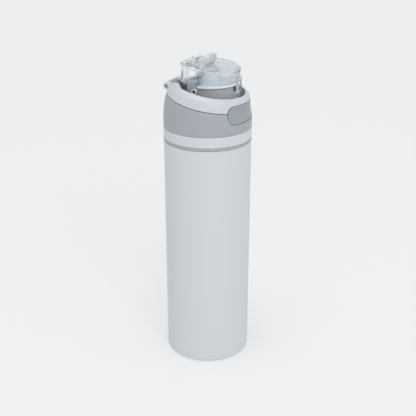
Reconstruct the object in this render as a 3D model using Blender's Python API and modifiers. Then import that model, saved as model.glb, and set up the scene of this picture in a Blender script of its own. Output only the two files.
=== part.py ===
"""Vacuum water bottle with a screw lid, a clear flip cap, a push button and a swinging carry ring.

Frame: metres, +Z up, origin on the bottle's axis at the base. The push button faces -Y and both
hinges lie at +Y. Lengths below are in millimetres and are turned into metres by mm().
Heights called "lift" count from the seam between the bottle and its lid.
"""

import math

import bmesh
import bpy
from mathutils import Matrix, Vector

OBJECT_NAME = "water_bottle"

# Bottle
BODY_RADIUS = 36.0
SEAM_HEIGHT = 194.5
SHELL_WALL = 0.8
LINER_RADIUS = 33.0
LINER_WALL = 0.6
NECK_RADIUS = 27.3
NECK_LIFT = 15.5
PAD_RADIUS = 29.5
PAD_THICKNESS = 1.2
GAP = 0.3
SEAM_GAP = 0.5

# Thread between neck and lid
THREAD_LEAD = 6.0
THREAD_TURNS = 1.25
THREAD_TIP_RADIUS = 28.4
CORE_BORE = 28.9
CORE_TIP_RADIUS = 27.7
THREAD_OFFSET = 2.0
NECK_THREAD_START = 6.0

# Lid outline: straight below LID_SHOULDER_LIFT, then a cubic shoulder
LID_RADIUS = 36.15
LID_SHOULDER_LIFT = 12.0
LID_SHOULDER_RATE = 1.56e-4
DECK_LIFT = 34.0
DECK_THICKNESS = 3.0
SEAT_RADIUS = 30.0

# Carry ring: a slanted foot, and a top that rises towards +Y, levels off and slopes outwards.
# Slopes are rises per millimetre towards +Y, and both lifts are those at the bottle's axis.
RING_FOOT_LIFT = 33.4
RING_FOOT_SLOPE = 0.183
RING_TOP_LIFT = 44.4
RING_TOP_SLOPE = 0.1925
RING_LEVEL_Y = 4.0
RING_LEVEL_RATE = 0.0078
RING_FACET_INNER = 27.0
RING_FACET_OUTER = 32.5
RING_FACET_DROP = 2.6
RING_FACET_FRONT_DROP = 1.2
RING_RIM_RADIUS = 28.5
RING_WALL = 2.9
RING_BORE = 30.7

# Carry ring hinge
RING_AXIS_Y = 31.0
RING_AXIS_LIFT = 43.0
RING_KNUCKLE_RADIUS = 3.0
RING_KNUCKLE_END = 12.5
LID_KNUCKLE_END = 6.0
RING_PIN_RADIUS = 1.2
RING_PIN_BORE = 1.5
RING_PIN_END = 10.6
RING_NOTCH_END = 6.4
RING_NOTCH_Y = 21.5
LEDGE_FOOT_LIFT = 42.3
LEDGE_BACK = (6.4, 23.0)
LEDGE_SIDE = (20.0, 14.6)
LEDGE_END = (28.5, 8.0)

# Dome, saucer and mouthpiece
DOME_Y = -6.2
DOME_FOOT_RADIUS = 20.0
DOME_TOP_RADIUS = 18.6
DOME_TOP_LIFT = 45.9
DOME_BACK_Y = 10.4
TIP_SLOPE = -0.06
SAUCER_RADIUS = 20.4
SAUCER_THICKNESS = 2.2
MOUTH_Y = -3.2
MOUTH_WIDTH = 15.0
MOUTH_DEPTH = 14.0
MOUTH_CORNER = 5.0
MOUTH_TOP_LIFT = 57.4
MOUTH_BORE = 4.6
MOUTH_TUBE_RADIUS = 8.0
MOUTH_TUBE_FOOT = 17.6

# Clear flip cap
CAP_AXIS_Y = 13.3
CAP_AXIS_LIFT = 62.7
CAP_Y = -4.4
CAP_FOOT_Y = -6.4
CAP_RADIUS = 22.2
CAP_FOOT_RADIUS = 20.7
CAP_WALL = 1.8
CAP_TOP_LIFT = 62.4
CAP_TOP_SLOPE = 0.136
CAP_FOOT_LIFT = 48.9
CAP_SKIRT_BACK_Y = 1.0
CAP_BARREL_RADIUS = 2.7
CAP_BARREL_END = 11.6
CAP_BARREL_START = 4.8
CAP_POST_SPACE_Y = 9.3
CAP_PIN_RADIUS = 1.0
CAP_PIN_BORE = 1.3
CAP_PIN_START = 5.6
CAP_PIN_END = 15.0

# Latch tongue on the cap's front, and the window in it that the latch holds
TONGUE_HALF_WIDTH = 3.8
TONGUE_FRONT_Y = -28.2
TONGUE_BACK_Y = -26.4
TONGUE_FOOT_LIFT = 37.4
CATCH_HALF_WIDTH = 2.4
CATCH_LIFTS = (39.2, 42.2)

# Silicone plug through the cap
TAB_Y = -2.2
TAB_WIDTH = 16.0
TAB_DEPTH = 4.4
TAB_CORNER = 3.2
TAB_FOOT_LIFT = 64.1
TAB_TOP_LIFT = 70.0
PLUG_SLOT = (9.6, 4.2, 1.6)
PLUG_NECK = (9.0, 3.6, 1.4)
PLUG_RADIUS = 6.9

# Hinge bracket for the cap
POST_INNER = 12.0
POST_OUTER = 16.0
POST_DEPTH = 4.6
POST_ROUND = 2.9
TOWER_INNER = 11.2
TOWER_OUTER = 17.4
TOWER_FRONT_Y = 0.4
TOWER_BACK_Y = 10.2
TOWER_LIFT = 51.0
RIVET_Y = 3.0
RIVET_LIFT = 42.8
BUSH_RADIUS = 2.3
BUSH_BORE = 1.4

# Push button
BUTTON_LIFT = 26.8
BUTTON_HEIGHT = 14.3
BUTTON_HALF_ANGLE = math.radians(38.5)
BUTTON_BACK_RADIUS = 33.2
BUTTON_SKIN = 0.1
PILL_DEPTH = 30.0
PILL_Y = -31.0
POCKET_FLOOR_RADIUS = 30.9
POCKET_MARGIN = 0.45

# Well in front of the dome that the tongue and the latch share, and the latch's channel below it
WELL_HALF_WIDTH = 4.6
WELL_FRONT_Y = -28.8
WELL_BACK_Y = -20.2
LATCH_HALF_WIDTH = 3.4
LATCH_POST_Y = (-25.8, -23.8)
LATCH_LIFT = 24.0
SPRING_Y = -19.5

# Points closer than this, in metres, are merged after each Boolean
BOOLEAN_WELD = 1e-5

STEPS_LARGE = 48
STEPS_MEDIUM = 32
STEPS_SMALL = 20
SMOOTH_ANGLE = math.radians(35.0)


def mm(value):
    """Millimetres to metres."""
    return value * 0.001


def lid_radius(lift):
    """Outer radius of the lid at a height above the seam."""
    return LID_RADIUS - LID_SHOULDER_RATE * max(0.0, lift - LID_SHOULDER_LIFT) ** 3


def ring_top(y):
    """Lift of the carry ring's inner rim at a place along Y."""
    return RING_TOP_LIFT + RING_TOP_SLOPE * y - RING_LEVEL_RATE * max(0.0, y - RING_LEVEL_Y) ** 2


def ring_facet_drop(y):
    """Fall of the ring's top from its inner rim to its outer side, less above the button."""
    share = min(1.0, max(0.0, y / RING_RIM_RADIUS + 1.0) * 1.5)
    return RING_FACET_FRONT_DROP + (RING_FACET_DROP - RING_FACET_FRONT_DROP) * share


def clear_scene():
    for obj in list(bpy.data.objects):
        bpy.data.objects.remove(obj, do_unlink=True)


def new_collection(name):
    collection = bpy.data.collections.new(name)
    bpy.context.scene.collection.children.link(collection)
    return collection


def material(name, colour, roughness, metallic=0.0, alpha=1.0):
    """Principled material with one colour, roughness and metallic value."""
    made = bpy.data.materials.new(name)
    made.use_nodes = True
    shader = made.node_tree.nodes["Principled BSDF"]
    shader.inputs["Base Color"].default_value = (*colour, 1.0)
    shader.inputs["Roughness"].default_value = roughness
    shader.inputs["Metallic"].default_value = metallic
    shader.inputs["Alpha"].default_value = alpha
    return made


class Workshop:
    """Collections and materials that every piece shares."""

    def __init__(self):
        self.parts = new_collection(OBJECT_NAME)
        self.cutters = new_collection(OBJECT_NAME + "_cutters")
        self.white_coat = material("white_coat", (0.78, 0.80, 0.83), 0.45)
        self.steel = material("steel", (0.62, 0.62, 0.60), 0.30, 1.0)
        self.dark_steel = material("dark_steel", (0.20, 0.20, 0.21), 0.35, 1.0)
        self.grey_plastic = material("grey_plastic", (0.42, 0.44, 0.46), 0.40)
        self.button_plastic = material("button_plastic", (0.38, 0.41, 0.45), 0.38)
        self.white_plastic = material("white_plastic", (0.80, 0.81, 0.82), 0.35)
        self.clear_plastic = material("clear_plastic", (0.90, 0.94, 0.96), 0.05, 0.0, 0.3)
        self.silicone = material("silicone", (0.66, 0.68, 0.71), 0.55, 0.0, 0.9)
        self.grey_rubber = material("grey_rubber", (0.45, 0.46, 0.48), 0.65)

    def place(self, name, mesh, cutter=False):
        obj = bpy.data.objects.new(name, mesh)
        if cutter:
            self.cutters.objects.link(obj)
            obj.hide_render = True
            obj.display_type = "WIRE"
        else:
            self.parts.objects.link(obj)
        return obj


def dress(obj, finish):
    """Give an object its only material, and shade its round sides smooth."""
    obj.data.materials.clear()
    obj.data.materials.append(finish)
    if obj.data.polygons:
        obj.data.shade_smooth()
        obj.data.set_sharp_from_angle(angle=SMOOTH_ANGLE)
    else:
        obj.modifiers["turn"].use_smooth_shade = True
    return obj


def weld(mesh, distance):
    """Merge the points of a mesh that lie within a distance in metres, and drop flat slivers."""
    work = bmesh.new()
    work.from_mesh(mesh)
    bmesh.ops.remove_doubles(work, verts=work.verts, dist=distance)
    bmesh.ops.dissolve_degenerate(work, edges=work.edges, dist=distance)
    work.to_mesh(mesh)
    work.free()


def evaluated_mesh(obj, distance=1e-6):
    """The mesh that an object's modifiers or its curve evaluate to, with close points merged."""
    bpy.context.view_layer.update()
    graph = bpy.context.evaluated_depsgraph_get()
    mesh = bpy.data.meshes.new_from_object(obj.evaluated_get(graph))
    weld(mesh, distance)
    return mesh


def baked(shop, obj):
    """Replace an object by the mesh that its modifiers or its curve evaluate to."""
    mesh = evaluated_mesh(obj)
    name, cutter, place = obj.name, obj.hide_render, obj.matrix_world.copy()
    bpy.data.objects.remove(obj, do_unlink=True)
    made = shop.place(name, mesh, cutter)
    made.matrix_world = place
    return made


def turned(shop, name, profile, steps=STEPS_LARGE, centre_y=0.0, closed=False, cutter=False):
    """Solid of revolution about a vertical axis from (radius, lift) points.

    The points run down the outer side first. An open profile starts and ends on the axis.
    """
    mesh = bpy.data.meshes.new(name)
    points = [(mm(r), 0.0, mm(SEAM_HEIGHT + lift)) for r, lift in profile]
    edges = [(i, i + 1) for i in range(len(points) - 1)]
    if closed:
        edges.append((len(points) - 1, 0))
    mesh.from_pydata(points, edges, [])
    obj = shop.place(name, mesh, cutter)
    obj.location = (0.0, mm(centre_y), 0.0)
    screw = obj.modifiers.new("turn", "SCREW")
    screw.axis = "Z"
    screw.steps = screw.render_steps = steps
    screw.use_merge_vertices = True
    screw.merge_threshold = 1e-5
    return obj


def box(shop, name, low, high, cutter=False):
    """Box between two corners, given in millimetres with the lift as third value."""
    mesh = bpy.data.meshes.new(name)
    work = bmesh.new()
    bmesh.ops.create_cube(work, size=1.0)
    bmesh.ops.scale(work, vec=[mm(b - a) for a, b in zip(low, high)], verts=work.verts)
    work.to_mesh(mesh)
    work.free()
    obj = shop.place(name, mesh, cutter)
    obj.location = [mm((a + b) / 2) for a, b in zip(low, high)]
    obj.location.z += mm(SEAM_HEIGHT)
    return obj


def rod(shop, name, start, end, radius, end_radius=None, steps=STEPS_SMALL, cutter=False):
    """Round bar or cone between two points, with lifts as third values."""
    first = Vector([mm(v) for v in start])
    span = Vector([mm(v) for v in end]) - first
    mesh = bpy.data.meshes.new(name)
    work = bmesh.new()
    bmesh.ops.create_cone(work, cap_ends=True, segments=steps, radius1=mm(radius),
                          radius2=mm(radius if end_radius is None else end_radius), depth=span.length)
    work.to_mesh(mesh)
    work.free()
    obj = shop.place(name, mesh, cutter)
    obj.rotation_mode = "QUATERNION"
    obj.rotation_quaternion = span.to_track_quat("Z", "Y")
    obj.location = first + span / 2 + Vector((0.0, 0.0, mm(SEAM_HEIGHT)))
    return obj


def slab(shop, name, outline, thickness, cutter=False):
    """Flat outline in the local XY plane, thickened evenly to both sides of it."""
    curve = bpy.data.curves.new(name, "CURVE")
    curve.dimensions = "2D"
    curve.fill_mode = "BOTH"
    curve.extrude = mm(thickness / 2)
    spline = curve.splines.new("POLY")
    spline.points.add(len(outline) - 1)
    for point, (x, y) in zip(spline.points, outline):
        point.co = (mm(x), mm(y), 0.0, 1.0)
    spline.use_cyclic_u = True
    return baked(shop, shop.place(name, curve, cutter))


def coil(shop, name, radius, length, turns, wire):
    """Compression coil along local Z, centred on its origin."""
    per_turn = 12
    count = int(turns * per_turn)
    curve = bpy.data.curves.new(name, "CURVE")
    curve.dimensions = "3D"
    curve.bevel_depth = mm(wire)
    curve.bevel_resolution = 1
    curve.use_fill_caps = True
    spline = curve.splines.new("POLY")
    spline.points.add(count)
    for i, point in enumerate(spline.points):
        turn = 2 * math.pi * i / per_turn
        rise = length * (i / count - 0.5)
        point.co = (mm(radius * math.cos(turn)), mm(radius * math.sin(turn)), mm(rise), 1.0)
    return baked(shop, shop.place(name, curve))


def rounded_rectangle(width, depth, corner, arc_steps=5):
    """Outline points of a rectangle with round corners, centred on the origin."""
    points = []
    for quarter in range(4):
        sx = 1 if quarter in (0, 3) else -1
        sy = 1 if quarter in (0, 1) else -1
        for step in range(arc_steps + 1):
            turn = math.radians(90 * (quarter + step / arc_steps))
            points.append((sx * (width / 2 - corner) + corner * math.cos(turn),
                           sy * (depth / 2 - corner) + corner * math.sin(turn)))
    return points


def pill_outline(margin):
    """Front view of the button: a stadium wrapped round the lid and seen along Y."""
    end = BUTTON_HEIGHT / 2 + margin
    straight = BUTTON_HALF_ANGLE * BODY_RADIUS - BUTTON_HEIGHT / 2
    points = []
    for side in (1, -1):
        for step in range(11):
            turn = math.radians(-90 + 18 * step)
            arc = side * (straight + end * math.cos(turn))
            points.append((BODY_RADIUS * math.sin(arc / BODY_RADIUS), side * end * math.sin(turn)))
    return points


def pill_prism(shop, name, margin, cutter):
    """The button's outline driven through the front of the lid along Y."""
    obj = slab(shop, name, pill_outline(margin), PILL_DEPTH, cutter)
    obj.rotation_euler = (math.radians(90), 0.0, 0.0)
    obj.location = (0.0, mm(PILL_Y), mm(SEAM_HEIGHT + BUTTON_LIFT))
    return obj


def boolean(obj, operation, *others):
    """Apply exact Booleans with the other objects, one after another."""
    for other in others:
        step = obj.modifiers.new(operation.lower() + "_" + other.name, "BOOLEAN")
        step.operation = operation
        step.solver = "EXACT"
        step.object = other
        mesh = evaluated_mesh(obj, BOOLEAN_WELD)
        obj.modifiers.clear()
        obj.data = mesh
    return obj


def cut(obj, *cutters):
    return boolean(obj, "DIFFERENCE", *cutters)


def join(obj, *additions):
    return boolean(obj, "UNION", *additions)


def keep_inside(obj, *limits):
    return boolean(obj, "INTERSECT", *limits)


def tilt_heights(shop, obj, slope, about_y=0.0, above=None):
    """Raise every point by slope times its distance along Y, and return the new mesh object."""
    made = baked(shop, obj)
    made.data.transform(made.matrix_world)
    made.matrix_world = Matrix.Identity(4)
    for vertex in made.data.vertices:
        if above is None or vertex.co.z > mm(SEAM_HEIGHT + above):
            vertex.co.z += slope * (vertex.co.y - mm(about_y))
    return made


def thread(shop, name, root, tip, start, turns):
    """Helical ridge with a trapezoid section, buried at its root radius."""
    mesh = bpy.data.meshes.new(name)
    section = [(root, -1.2), (root, 1.2), (tip, 0.5), (tip, -0.5)]
    mesh.from_pydata([(mm(r), 0.0, mm(SEAM_HEIGHT + start + z)) for r, z in section],
                     [(i, (i + 1) % 4) for i in range(4)], [])
    obj = shop.place(name, mesh, True)
    screw = obj.modifiers.new("turn", "SCREW")
    screw.angle = 2 * math.pi * turns
    screw.screw_offset = mm(THREAD_LEAD * turns)
    screw.steps = screw.render_steps = int(32 * turns)
    made = baked(shop, obj)
    work = bmesh.new()
    work.from_mesh(made.data)
    ends = [edge for edge in work.edges if edge.is_boundary]
    bmesh.ops.holes_fill(work, edges=ends, sides=4)
    bmesh.ops.recalc_face_normals(work, faces=work.faces)
    work.to_mesh(made.data)
    work.free()
    return made


def outer_shell(shop):
    """Outer wall of the bottle with its shoulder, neck and neck thread."""
    foot = -SEAM_HEIGHT
    inner = BODY_RADIUS - SHELL_WALL
    bore = NECK_RADIUS - SHELL_WALL
    profile = [
        (NECK_RADIUS, NECK_LIFT), (NECK_RADIUS, 0.0), (34.8, 0.0), (35.65, -0.35),
        (BODY_RADIUS, -1.2), (BODY_RADIUS, foot + 3.2), (35.6, foot + 1.6), (34.6, foot + 0.7),
        (33.4, foot + 0.4), (32.6, foot + 0.4), (32.6, foot + 1.2), (33.6, foot + 1.3),
        (34.7, foot + 2.1), (inner, foot + 3.4), (inner, -1.6), (34.4, -0.8), (bore, -0.8),
        (bore, NECK_LIFT),
    ]
    shell = turned(shop, "outer_shell", profile, closed=True)
    ridge = thread(shop, "neck_thread_ridge", NECK_RADIUS - 0.4, THREAD_TIP_RADIUS,
                   NECK_THREAD_START, THREAD_TURNS)
    return dress(join(shell, ridge), shop.white_coat)


def inner_liner(shop):
    """Inner steel vessel, hung from the neck."""
    foot = -SEAM_HEIGHT
    inner = LINER_RADIUS - LINER_WALL
    neck = NECK_RADIUS - SHELL_WALL - GAP
    mouth = neck - LINER_WALL
    profile = [
        (0.0, foot + 8.6), (28.8, foot + 8.6), (31.3, foot + 9.7), (inner, foot + 12.2),
        (inner, -13.2), (31.0, -10.5), (27.2, -8.5), (mouth, -4.2), (mouth, NECK_LIFT),
        (neck, NECK_LIFT), (neck, -4.0), (27.6, -8.0), (31.4, -10.0), (LINER_RADIUS, -13.0),
        (LINER_RADIUS, foot + 12.0), (31.8, foot + 9.2), (29.0, foot + 8.0), (0.0, foot + 8.0),
    ]
    dress(turned(shop, "inner_liner", profile), shop.steel)


def base_pieces(shop):
    """Welded base cap, the getter above it and the silicone pad below it."""
    foot = -SEAM_HEIGHT
    cap = turned(shop, "outer_base_cap", [
        (0.0, foot + 2.9), (27.0, foot + 2.9), (28.6, foot + 2.3), (32.2, foot + 2.3),
        (32.2, foot + 1.5), (0.0, foot + 1.5)])
    dress(cap, shop.steel)
    getter = turned(shop, "vacuum_getter", [
        (0.0, foot + 4.9), (4.0, foot + 4.9), (4.5, foot + 4.4), (4.5, foot + 3.2), (0.0, foot + 3.2)],
        steps=STEPS_SMALL)
    dress(getter, shop.dark_steel)
    pad = turned(shop, "base_pad", [
        (0.0, foot + PAD_THICKNESS), (PAD_RADIUS, foot + PAD_THICKNESS),
        (PAD_RADIUS, foot + 0.4), (PAD_RADIUS - 0.5, foot), (0.0, foot)])
    dress(pad, shop.grey_rubber)


def lid_skirt_rings(shop):
    """Bumper ring on the bottle's shoulder and the white band round the lid's skirt."""
    bumper = turned(shop, "bumper_ring", [
        (35.9, 2.2), (36.3, 1.8), (36.3, 0.7), (35.9, GAP), (32.6, GAP), (32.6, 2.2)], closed=True)
    dress(bumper, shop.grey_rubber)
    band = turned(shop, "trim_band", [
        (LID_RADIUS - 0.25, 11.3), (LID_RADIUS, 11.0), (LID_RADIUS, 2.9), (LID_RADIUS - 0.25, 2.5),
        (34.9, 2.5), (34.9, 11.3)], closed=True)
    dress(band, shop.white_coat)


def thread_core(shop):
    """Threaded inner cup of the lid, with a hole for the mouthpiece tube and a spring seat."""
    core = turned(shop, "thread_core", [
        (0.0, 19.8), (31.2, 19.8), (31.2, 2.6), (CORE_BORE, 2.6), (CORE_BORE, 17.4), (0.0, 17.4)])
    ridge = thread(shop, "core_thread_ridge", CORE_BORE + 0.4, CORE_TIP_RADIUS,
                   NECK_THREAD_START - THREAD_OFFSET, 1.0)
    seat = box(shop, "spring_seat", (-4.0, -15.2, 18.6), (4.0, -13.2, 28.6), cutter=True)
    passage = rod(shop, "core_passage", (0, MOUTH_Y, 10), (0, MOUTH_Y, 25), MOUTH_TUBE_RADIUS + 1.9,
                  steps=STEPS_MEDIUM, cutter=True)
    vent = rod(shop, "core_vent_hole", (0, 17, 10), (0, 17, 25), 2.0, cutter=True)
    dress(cut(join(core, ridge, seat), passage, vent), shop.grey_plastic)
    seal = turned(shop, "neck_seal", [
        (28.5, 17.1), (28.5, 15.8), (25.2, 15.8), (25.2, 17.1)], closed=True)
    dress(seal, shop.silicone)
    gasket = turned(shop, "mouthpiece_gasket", [
        (9.5, 19.4), (9.5, 17.8), (8.3, 17.8), (8.3, 19.4)], steps=STEPS_MEDIUM, centre_y=MOUTH_Y,
        closed=True)
    dress(gasket, shop.silicone)
    valve = turned(shop, "vent_valve", [
        (0.0, 21.4), (2.2, 21.2), (3.2, 20.1), (1.7, 20.1), (1.7, 16.2), (0.6, 14.8), (0.0, 14.8)],
        steps=STEPS_SMALL, centre_y=17.0)
    dress(valve, shop.silicone)


def lid_wall_profile():
    """Outer side of the lid's wall, from its top down to the skirt."""
    lifts = [44.0, 41.0, 38.0, 35.0, 32.0, 29.0, 25.0, 20.0, 15.0]
    return [(lid_radius(lift), lift) for lift in lifts]


def slanted_plug(shop, name, foot, foot_slope, top, bore=None):
    """Disc or tube with a slanted foot and a level top, used to trim walls."""
    reach = LID_RADIUS + 12.0
    profile = [(reach, top), (reach, foot)]
    profile = [(bore, top), *profile, (bore, foot)] if bore else [(0.0, top), *profile, (0.0, foot)]
    plug = baked(shop, turned(shop, name, profile, closed=bool(bore), cutter=True))
    middle = mm(SEAM_HEIGHT + (foot + top) / 2)
    for vertex in plug.data.vertices:
        if vertex.co.z < middle:
            vertex.co.z += vertex.co.y * foot_slope
    return plug


def dome_solid(shop):
    """Raised platform under the mouthpiece, flat at its back and with a tipped top."""
    dome = turned(shop, "dome", [
        (0.0, DOME_TOP_LIFT), (DOME_TOP_RADIUS - 0.8, DOME_TOP_LIFT),
        (DOME_TOP_RADIUS, DOME_TOP_LIFT - 0.8), (DOME_FOOT_RADIUS, 33.0), (0.0, 33.0)],
        centre_y=DOME_Y, cutter=True)
    dome = tilt_heights(shop, dome, TIP_SLOPE, DOME_Y, above=DOME_TOP_LIFT - 2.0)
    cut(dome, box(shop, "dome_back", (-30, DOME_BACK_Y, 30), (30, 40, 50), cutter=True))
    return dome


def lid_shell(shop):
    """Grey upper lid: wall, deck, dome, two towers and the middle knuckle of the carry ring."""
    profile = [(0.0, DECK_LIFT), (30.4, DECK_LIFT), (30.4, 44.0), *lid_wall_profile(),
               (LID_RADIUS, 11.6), (34.6, 11.6), (34.6, 2.6), (31.5, 2.6), (31.5, 20.1), (28.0, 20.1),
               (28.0, DECK_LIFT - DECK_THICKNESS), (0.0, DECK_LIFT - DECK_THICKNESS)]
    shell = turned(shop, "lid_shell", profile)
    seat = slanted_plug(shop, "ring_seat", RING_FOOT_LIFT, RING_FOOT_SLOPE, 70.0, SEAT_RADIUS)
    cut(shell, seat)
    towers = []
    for tag, a, b in (("left", -TOWER_OUTER, -TOWER_INNER), ("right", TOWER_INNER, TOWER_OUTER)):
        towers.append(box(shop, "tower_" + tag, (a, TOWER_FRONT_Y, DECK_LIFT - 1.0),
                          (b, TOWER_BACK_Y, TOWER_LIFT), cutter=True))
    web_end = LID_KNUCKLE_END - 0.4
    web = box(shop, "knuckle_web", (-web_end, RING_AXIS_Y - 0.1, 36.5),
              (web_end, RING_AXIS_Y + 1.7, RING_AXIS_LIFT), cutter=True)
    barrel = rod(shop, "lid_knuckle", (-LID_KNUCKLE_END, RING_AXIS_Y, RING_AXIS_LIFT),
                 (LID_KNUCKLE_END, RING_AXIS_Y, RING_AXIS_LIFT), RING_KNUCKLE_RADIUS, cutter=True)
    join(shell, dome_solid(shop), *towers, web, barrel)
    hollow = rod(shop, "dome_hollow", (0, DOME_Y, 25), (0, DOME_Y, 42.6), 16.0, 15.4,
                 steps=STEPS_MEDIUM, cutter=True)
    passage = rod(shop, "deck_passage", (0, MOUTH_Y, 25), (0, MOUTH_Y, 52), MOUTH_TUBE_RADIUS + GAP,
                  steps=STEPS_MEDIUM, cutter=True)
    well = box(shop, "latch_well", (-WELL_HALF_WIDTH, WELL_FRONT_Y, 21.0),
               (WELL_HALF_WIDTH, WELL_BACK_Y, 60.0), cutter=True)
    channel = box(shop, "latch_channel", (-WELL_HALF_WIDTH + 0.4, -34.0, LATCH_LIFT - 2.8),
                  (WELL_HALF_WIDTH - 0.4, -24.0, LATCH_LIFT + 2.8), cutter=True)
    pocket = keep_inside(turned(shop, "button_pocket", [
        (42.0, 60.0), (42.0, 10.0), (POCKET_FLOOR_RADIUS, 10.0), (POCKET_FLOOR_RADIUS, 60.0)],
        closed=True, cutter=True), pill_prism(shop, "pocket_outline", POCKET_MARGIN, True))
    pin_bore = rod(shop, "lid_knuckle_bore", (-9, RING_AXIS_Y, RING_AXIS_LIFT),
                   (9, RING_AXIS_Y, RING_AXIS_LIFT), RING_PIN_BORE, cutter=True)
    bush_bore = rod(shop, "tower_bore", (-20, RIVET_Y, RIVET_LIFT), (20, RIVET_Y, RIVET_LIFT), 1.0,
                    cutter=True)
    cut(shell, hollow, passage, well, channel, pocket, pin_bore, bush_bore)
    return dress(shell, shop.grey_plastic)


def mouthpiece(shop):
    """White drinking spout on its saucer, with the tube that carries it down to the gasket."""
    foot = DOME_TOP_LIFT + GAP
    saucer = turned(shop, "mouthpiece", [
        (0.0, foot + SAUCER_THICKNESS), (SAUCER_RADIUS - 0.7, foot + SAUCER_THICKNESS),
        (SAUCER_RADIUS, foot + SAUCER_THICKNESS - 0.7), (SAUCER_RADIUS, foot + 0.5),
        (SAUCER_RADIUS - 0.5, foot), (0.0, foot)], centre_y=DOME_Y)
    saucer = tilt_heights(shop, saucer, TIP_SLOPE, DOME_Y)
    block = slab(shop, "spout_block", rounded_rectangle(MOUTH_WIDTH, MOUTH_DEPTH, MOUTH_CORNER),
                 MOUTH_TOP_LIFT - foot - 1.0, cutter=True)
    block.location = (0.0, mm(MOUTH_Y), mm(SEAM_HEIGHT + (MOUTH_TOP_LIFT + foot + 1.0) / 2))
    tube = rod(shop, "spout_tube", (0, MOUTH_Y, MOUTH_TUBE_FOOT), (0, MOUTH_Y, foot + 1.5),
               MOUTH_TUBE_RADIUS, steps=STEPS_MEDIUM, cutter=True)
    bore = rod(shop, "spout_bore", (0, MOUTH_Y, 10), (0, MOUTH_Y, 70), MOUTH_BORE, steps=STEPS_MEDIUM,
               cutter=True)
    back = box(shop, "saucer_back", (-30, DOME_BACK_Y - 0.2, 40), (30, 40, 55), cutter=True)
    edge = TOWER_INNER - 0.4
    notches = [box(shop, "saucer_notch_" + tag, (a, TOWER_FRONT_Y - 0.4, 40), (b, 40, 55), cutter=True)
               for tag, a, b in (("left", -30, -edge), ("right", edge, 30))]
    well = box(shop, "saucer_latch_notch", (-WELL_HALF_WIDTH - 0.2, -40.0, 40.0),
               (WELL_HALF_WIDTH + 0.2, TONGUE_BACK_Y + 0.5, 55.0), cutter=True)
    cut(join(saucer, block, tube), bore, back, *notches, well)
    return dress(saucer, shop.white_plastic)


def hinge_bracket(shop):
    """Clear bracket: two round-topped posts on a cross bar behind the dome."""
    foot = DECK_LIFT + GAP
    bar = box(shop, "hinge_bracket", (-POST_OUTER, CAP_AXIS_Y - POST_DEPTH / 2, foot),
              (POST_OUTER, CAP_AXIS_Y + POST_DEPTH / 2, foot + 4.5))
    for tag, side in (("left", -1), ("right", 1)):
        a, b = sorted((side * POST_INNER, side * POST_OUTER))
        post = box(shop, "post_" + tag, (a, CAP_AXIS_Y - POST_DEPTH / 2, foot + 2.0),
                   (b, CAP_AXIS_Y + POST_DEPTH / 2, CAP_AXIS_LIFT), cutter=True)
        head = rod(shop, "post_head_" + tag, (a - 0.01, CAP_AXIS_Y, CAP_AXIS_LIFT),
                   (b + 0.01, CAP_AXIS_Y, CAP_AXIS_LIFT), POST_ROUND, cutter=True)
        slot = box(shop, "post_slot_" + tag, (a - 2.0, CAP_AXIS_Y - 1.4, 46.6),
                   (b + 2.0, CAP_AXIS_Y + 1.2, 48.4), cutter=True)
        join(bar, post, head)
        cut(bar, slot)
    bore = rod(shop, "bracket_bore", (-20, CAP_AXIS_Y, CAP_AXIS_LIFT), (20, CAP_AXIS_Y, CAP_AXIS_LIFT),
               CAP_PIN_BORE, cutter=True)
    return dress(cut(bar, bore), shop.clear_plastic)


def bracket_rivets(shop):
    """White bushes on the towers' outer faces, each held by a dark rivet."""
    y, lift = RIVET_Y, RIVET_LIFT
    for tag, side in (("left", -1), ("right", 1)):
        bush = rod(shop, "pivot_bush_" + tag, (side * (TOWER_OUTER + GAP), y, lift),
                   (side * (TOWER_OUTER + 2.5), y, lift), BUSH_RADIUS)
        hole = rod(shop, "bush_hole_" + tag, (side * TOWER_INNER, y, lift), (side * 24, y, lift), BUSH_BORE,
                   cutter=True)
        dress(cut(bush, hole), shop.white_plastic)
        rivet = rod(shop, "pivot_rivet_" + tag, (side * (TOWER_INNER + 0.6), y, lift),
                    (side * (TOWER_OUTER + 1.9), y, lift), 0.7)
        dress(rivet, shop.dark_steel)


def cap_hinge(shop):
    """Two short pins, each through a post and its knuckle of the cap, sunk in the post's side."""
    for tag, side in (("left", -1), ("right", 1)):
        pin = rod(shop, "cap_hinge_pin_" + tag, (side * CAP_PIN_START, CAP_AXIS_Y, CAP_AXIS_LIFT),
                  (side * CAP_PIN_END, CAP_AXIS_Y, CAP_AXIS_LIFT), CAP_PIN_RADIUS)
        dress(pin, shop.steel)


def skirt_radius(drop):
    """Outer radius of the cap's tapered skirt at a depth below its top."""
    return CAP_RADIUS - (CAP_RADIUS - CAP_FOOT_RADIUS) * drop / (CAP_TOP_LIFT - CAP_FOOT_LIFT)


def lean_cap(cap):
    """Tip the cap's top back, tip its foot forward and shift both to their own centres."""
    top, foot = mm(SEAM_HEIGHT + CAP_TOP_LIFT), mm(SEAM_HEIGHT + CAP_FOOT_LIFT)
    for vertex in cap.data.vertices:
        share = min(1.0, max(0.0, (top - vertex.co.z) / (top - foot)))
        slope = CAP_TOP_SLOPE * (1.0 - share) + TIP_SLOPE * share
        vertex.co.z += slope * vertex.co.y
        vertex.co.y += mm(CAP_Y) * (1.0 - share) + mm(CAP_FOOT_Y) * share


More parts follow.
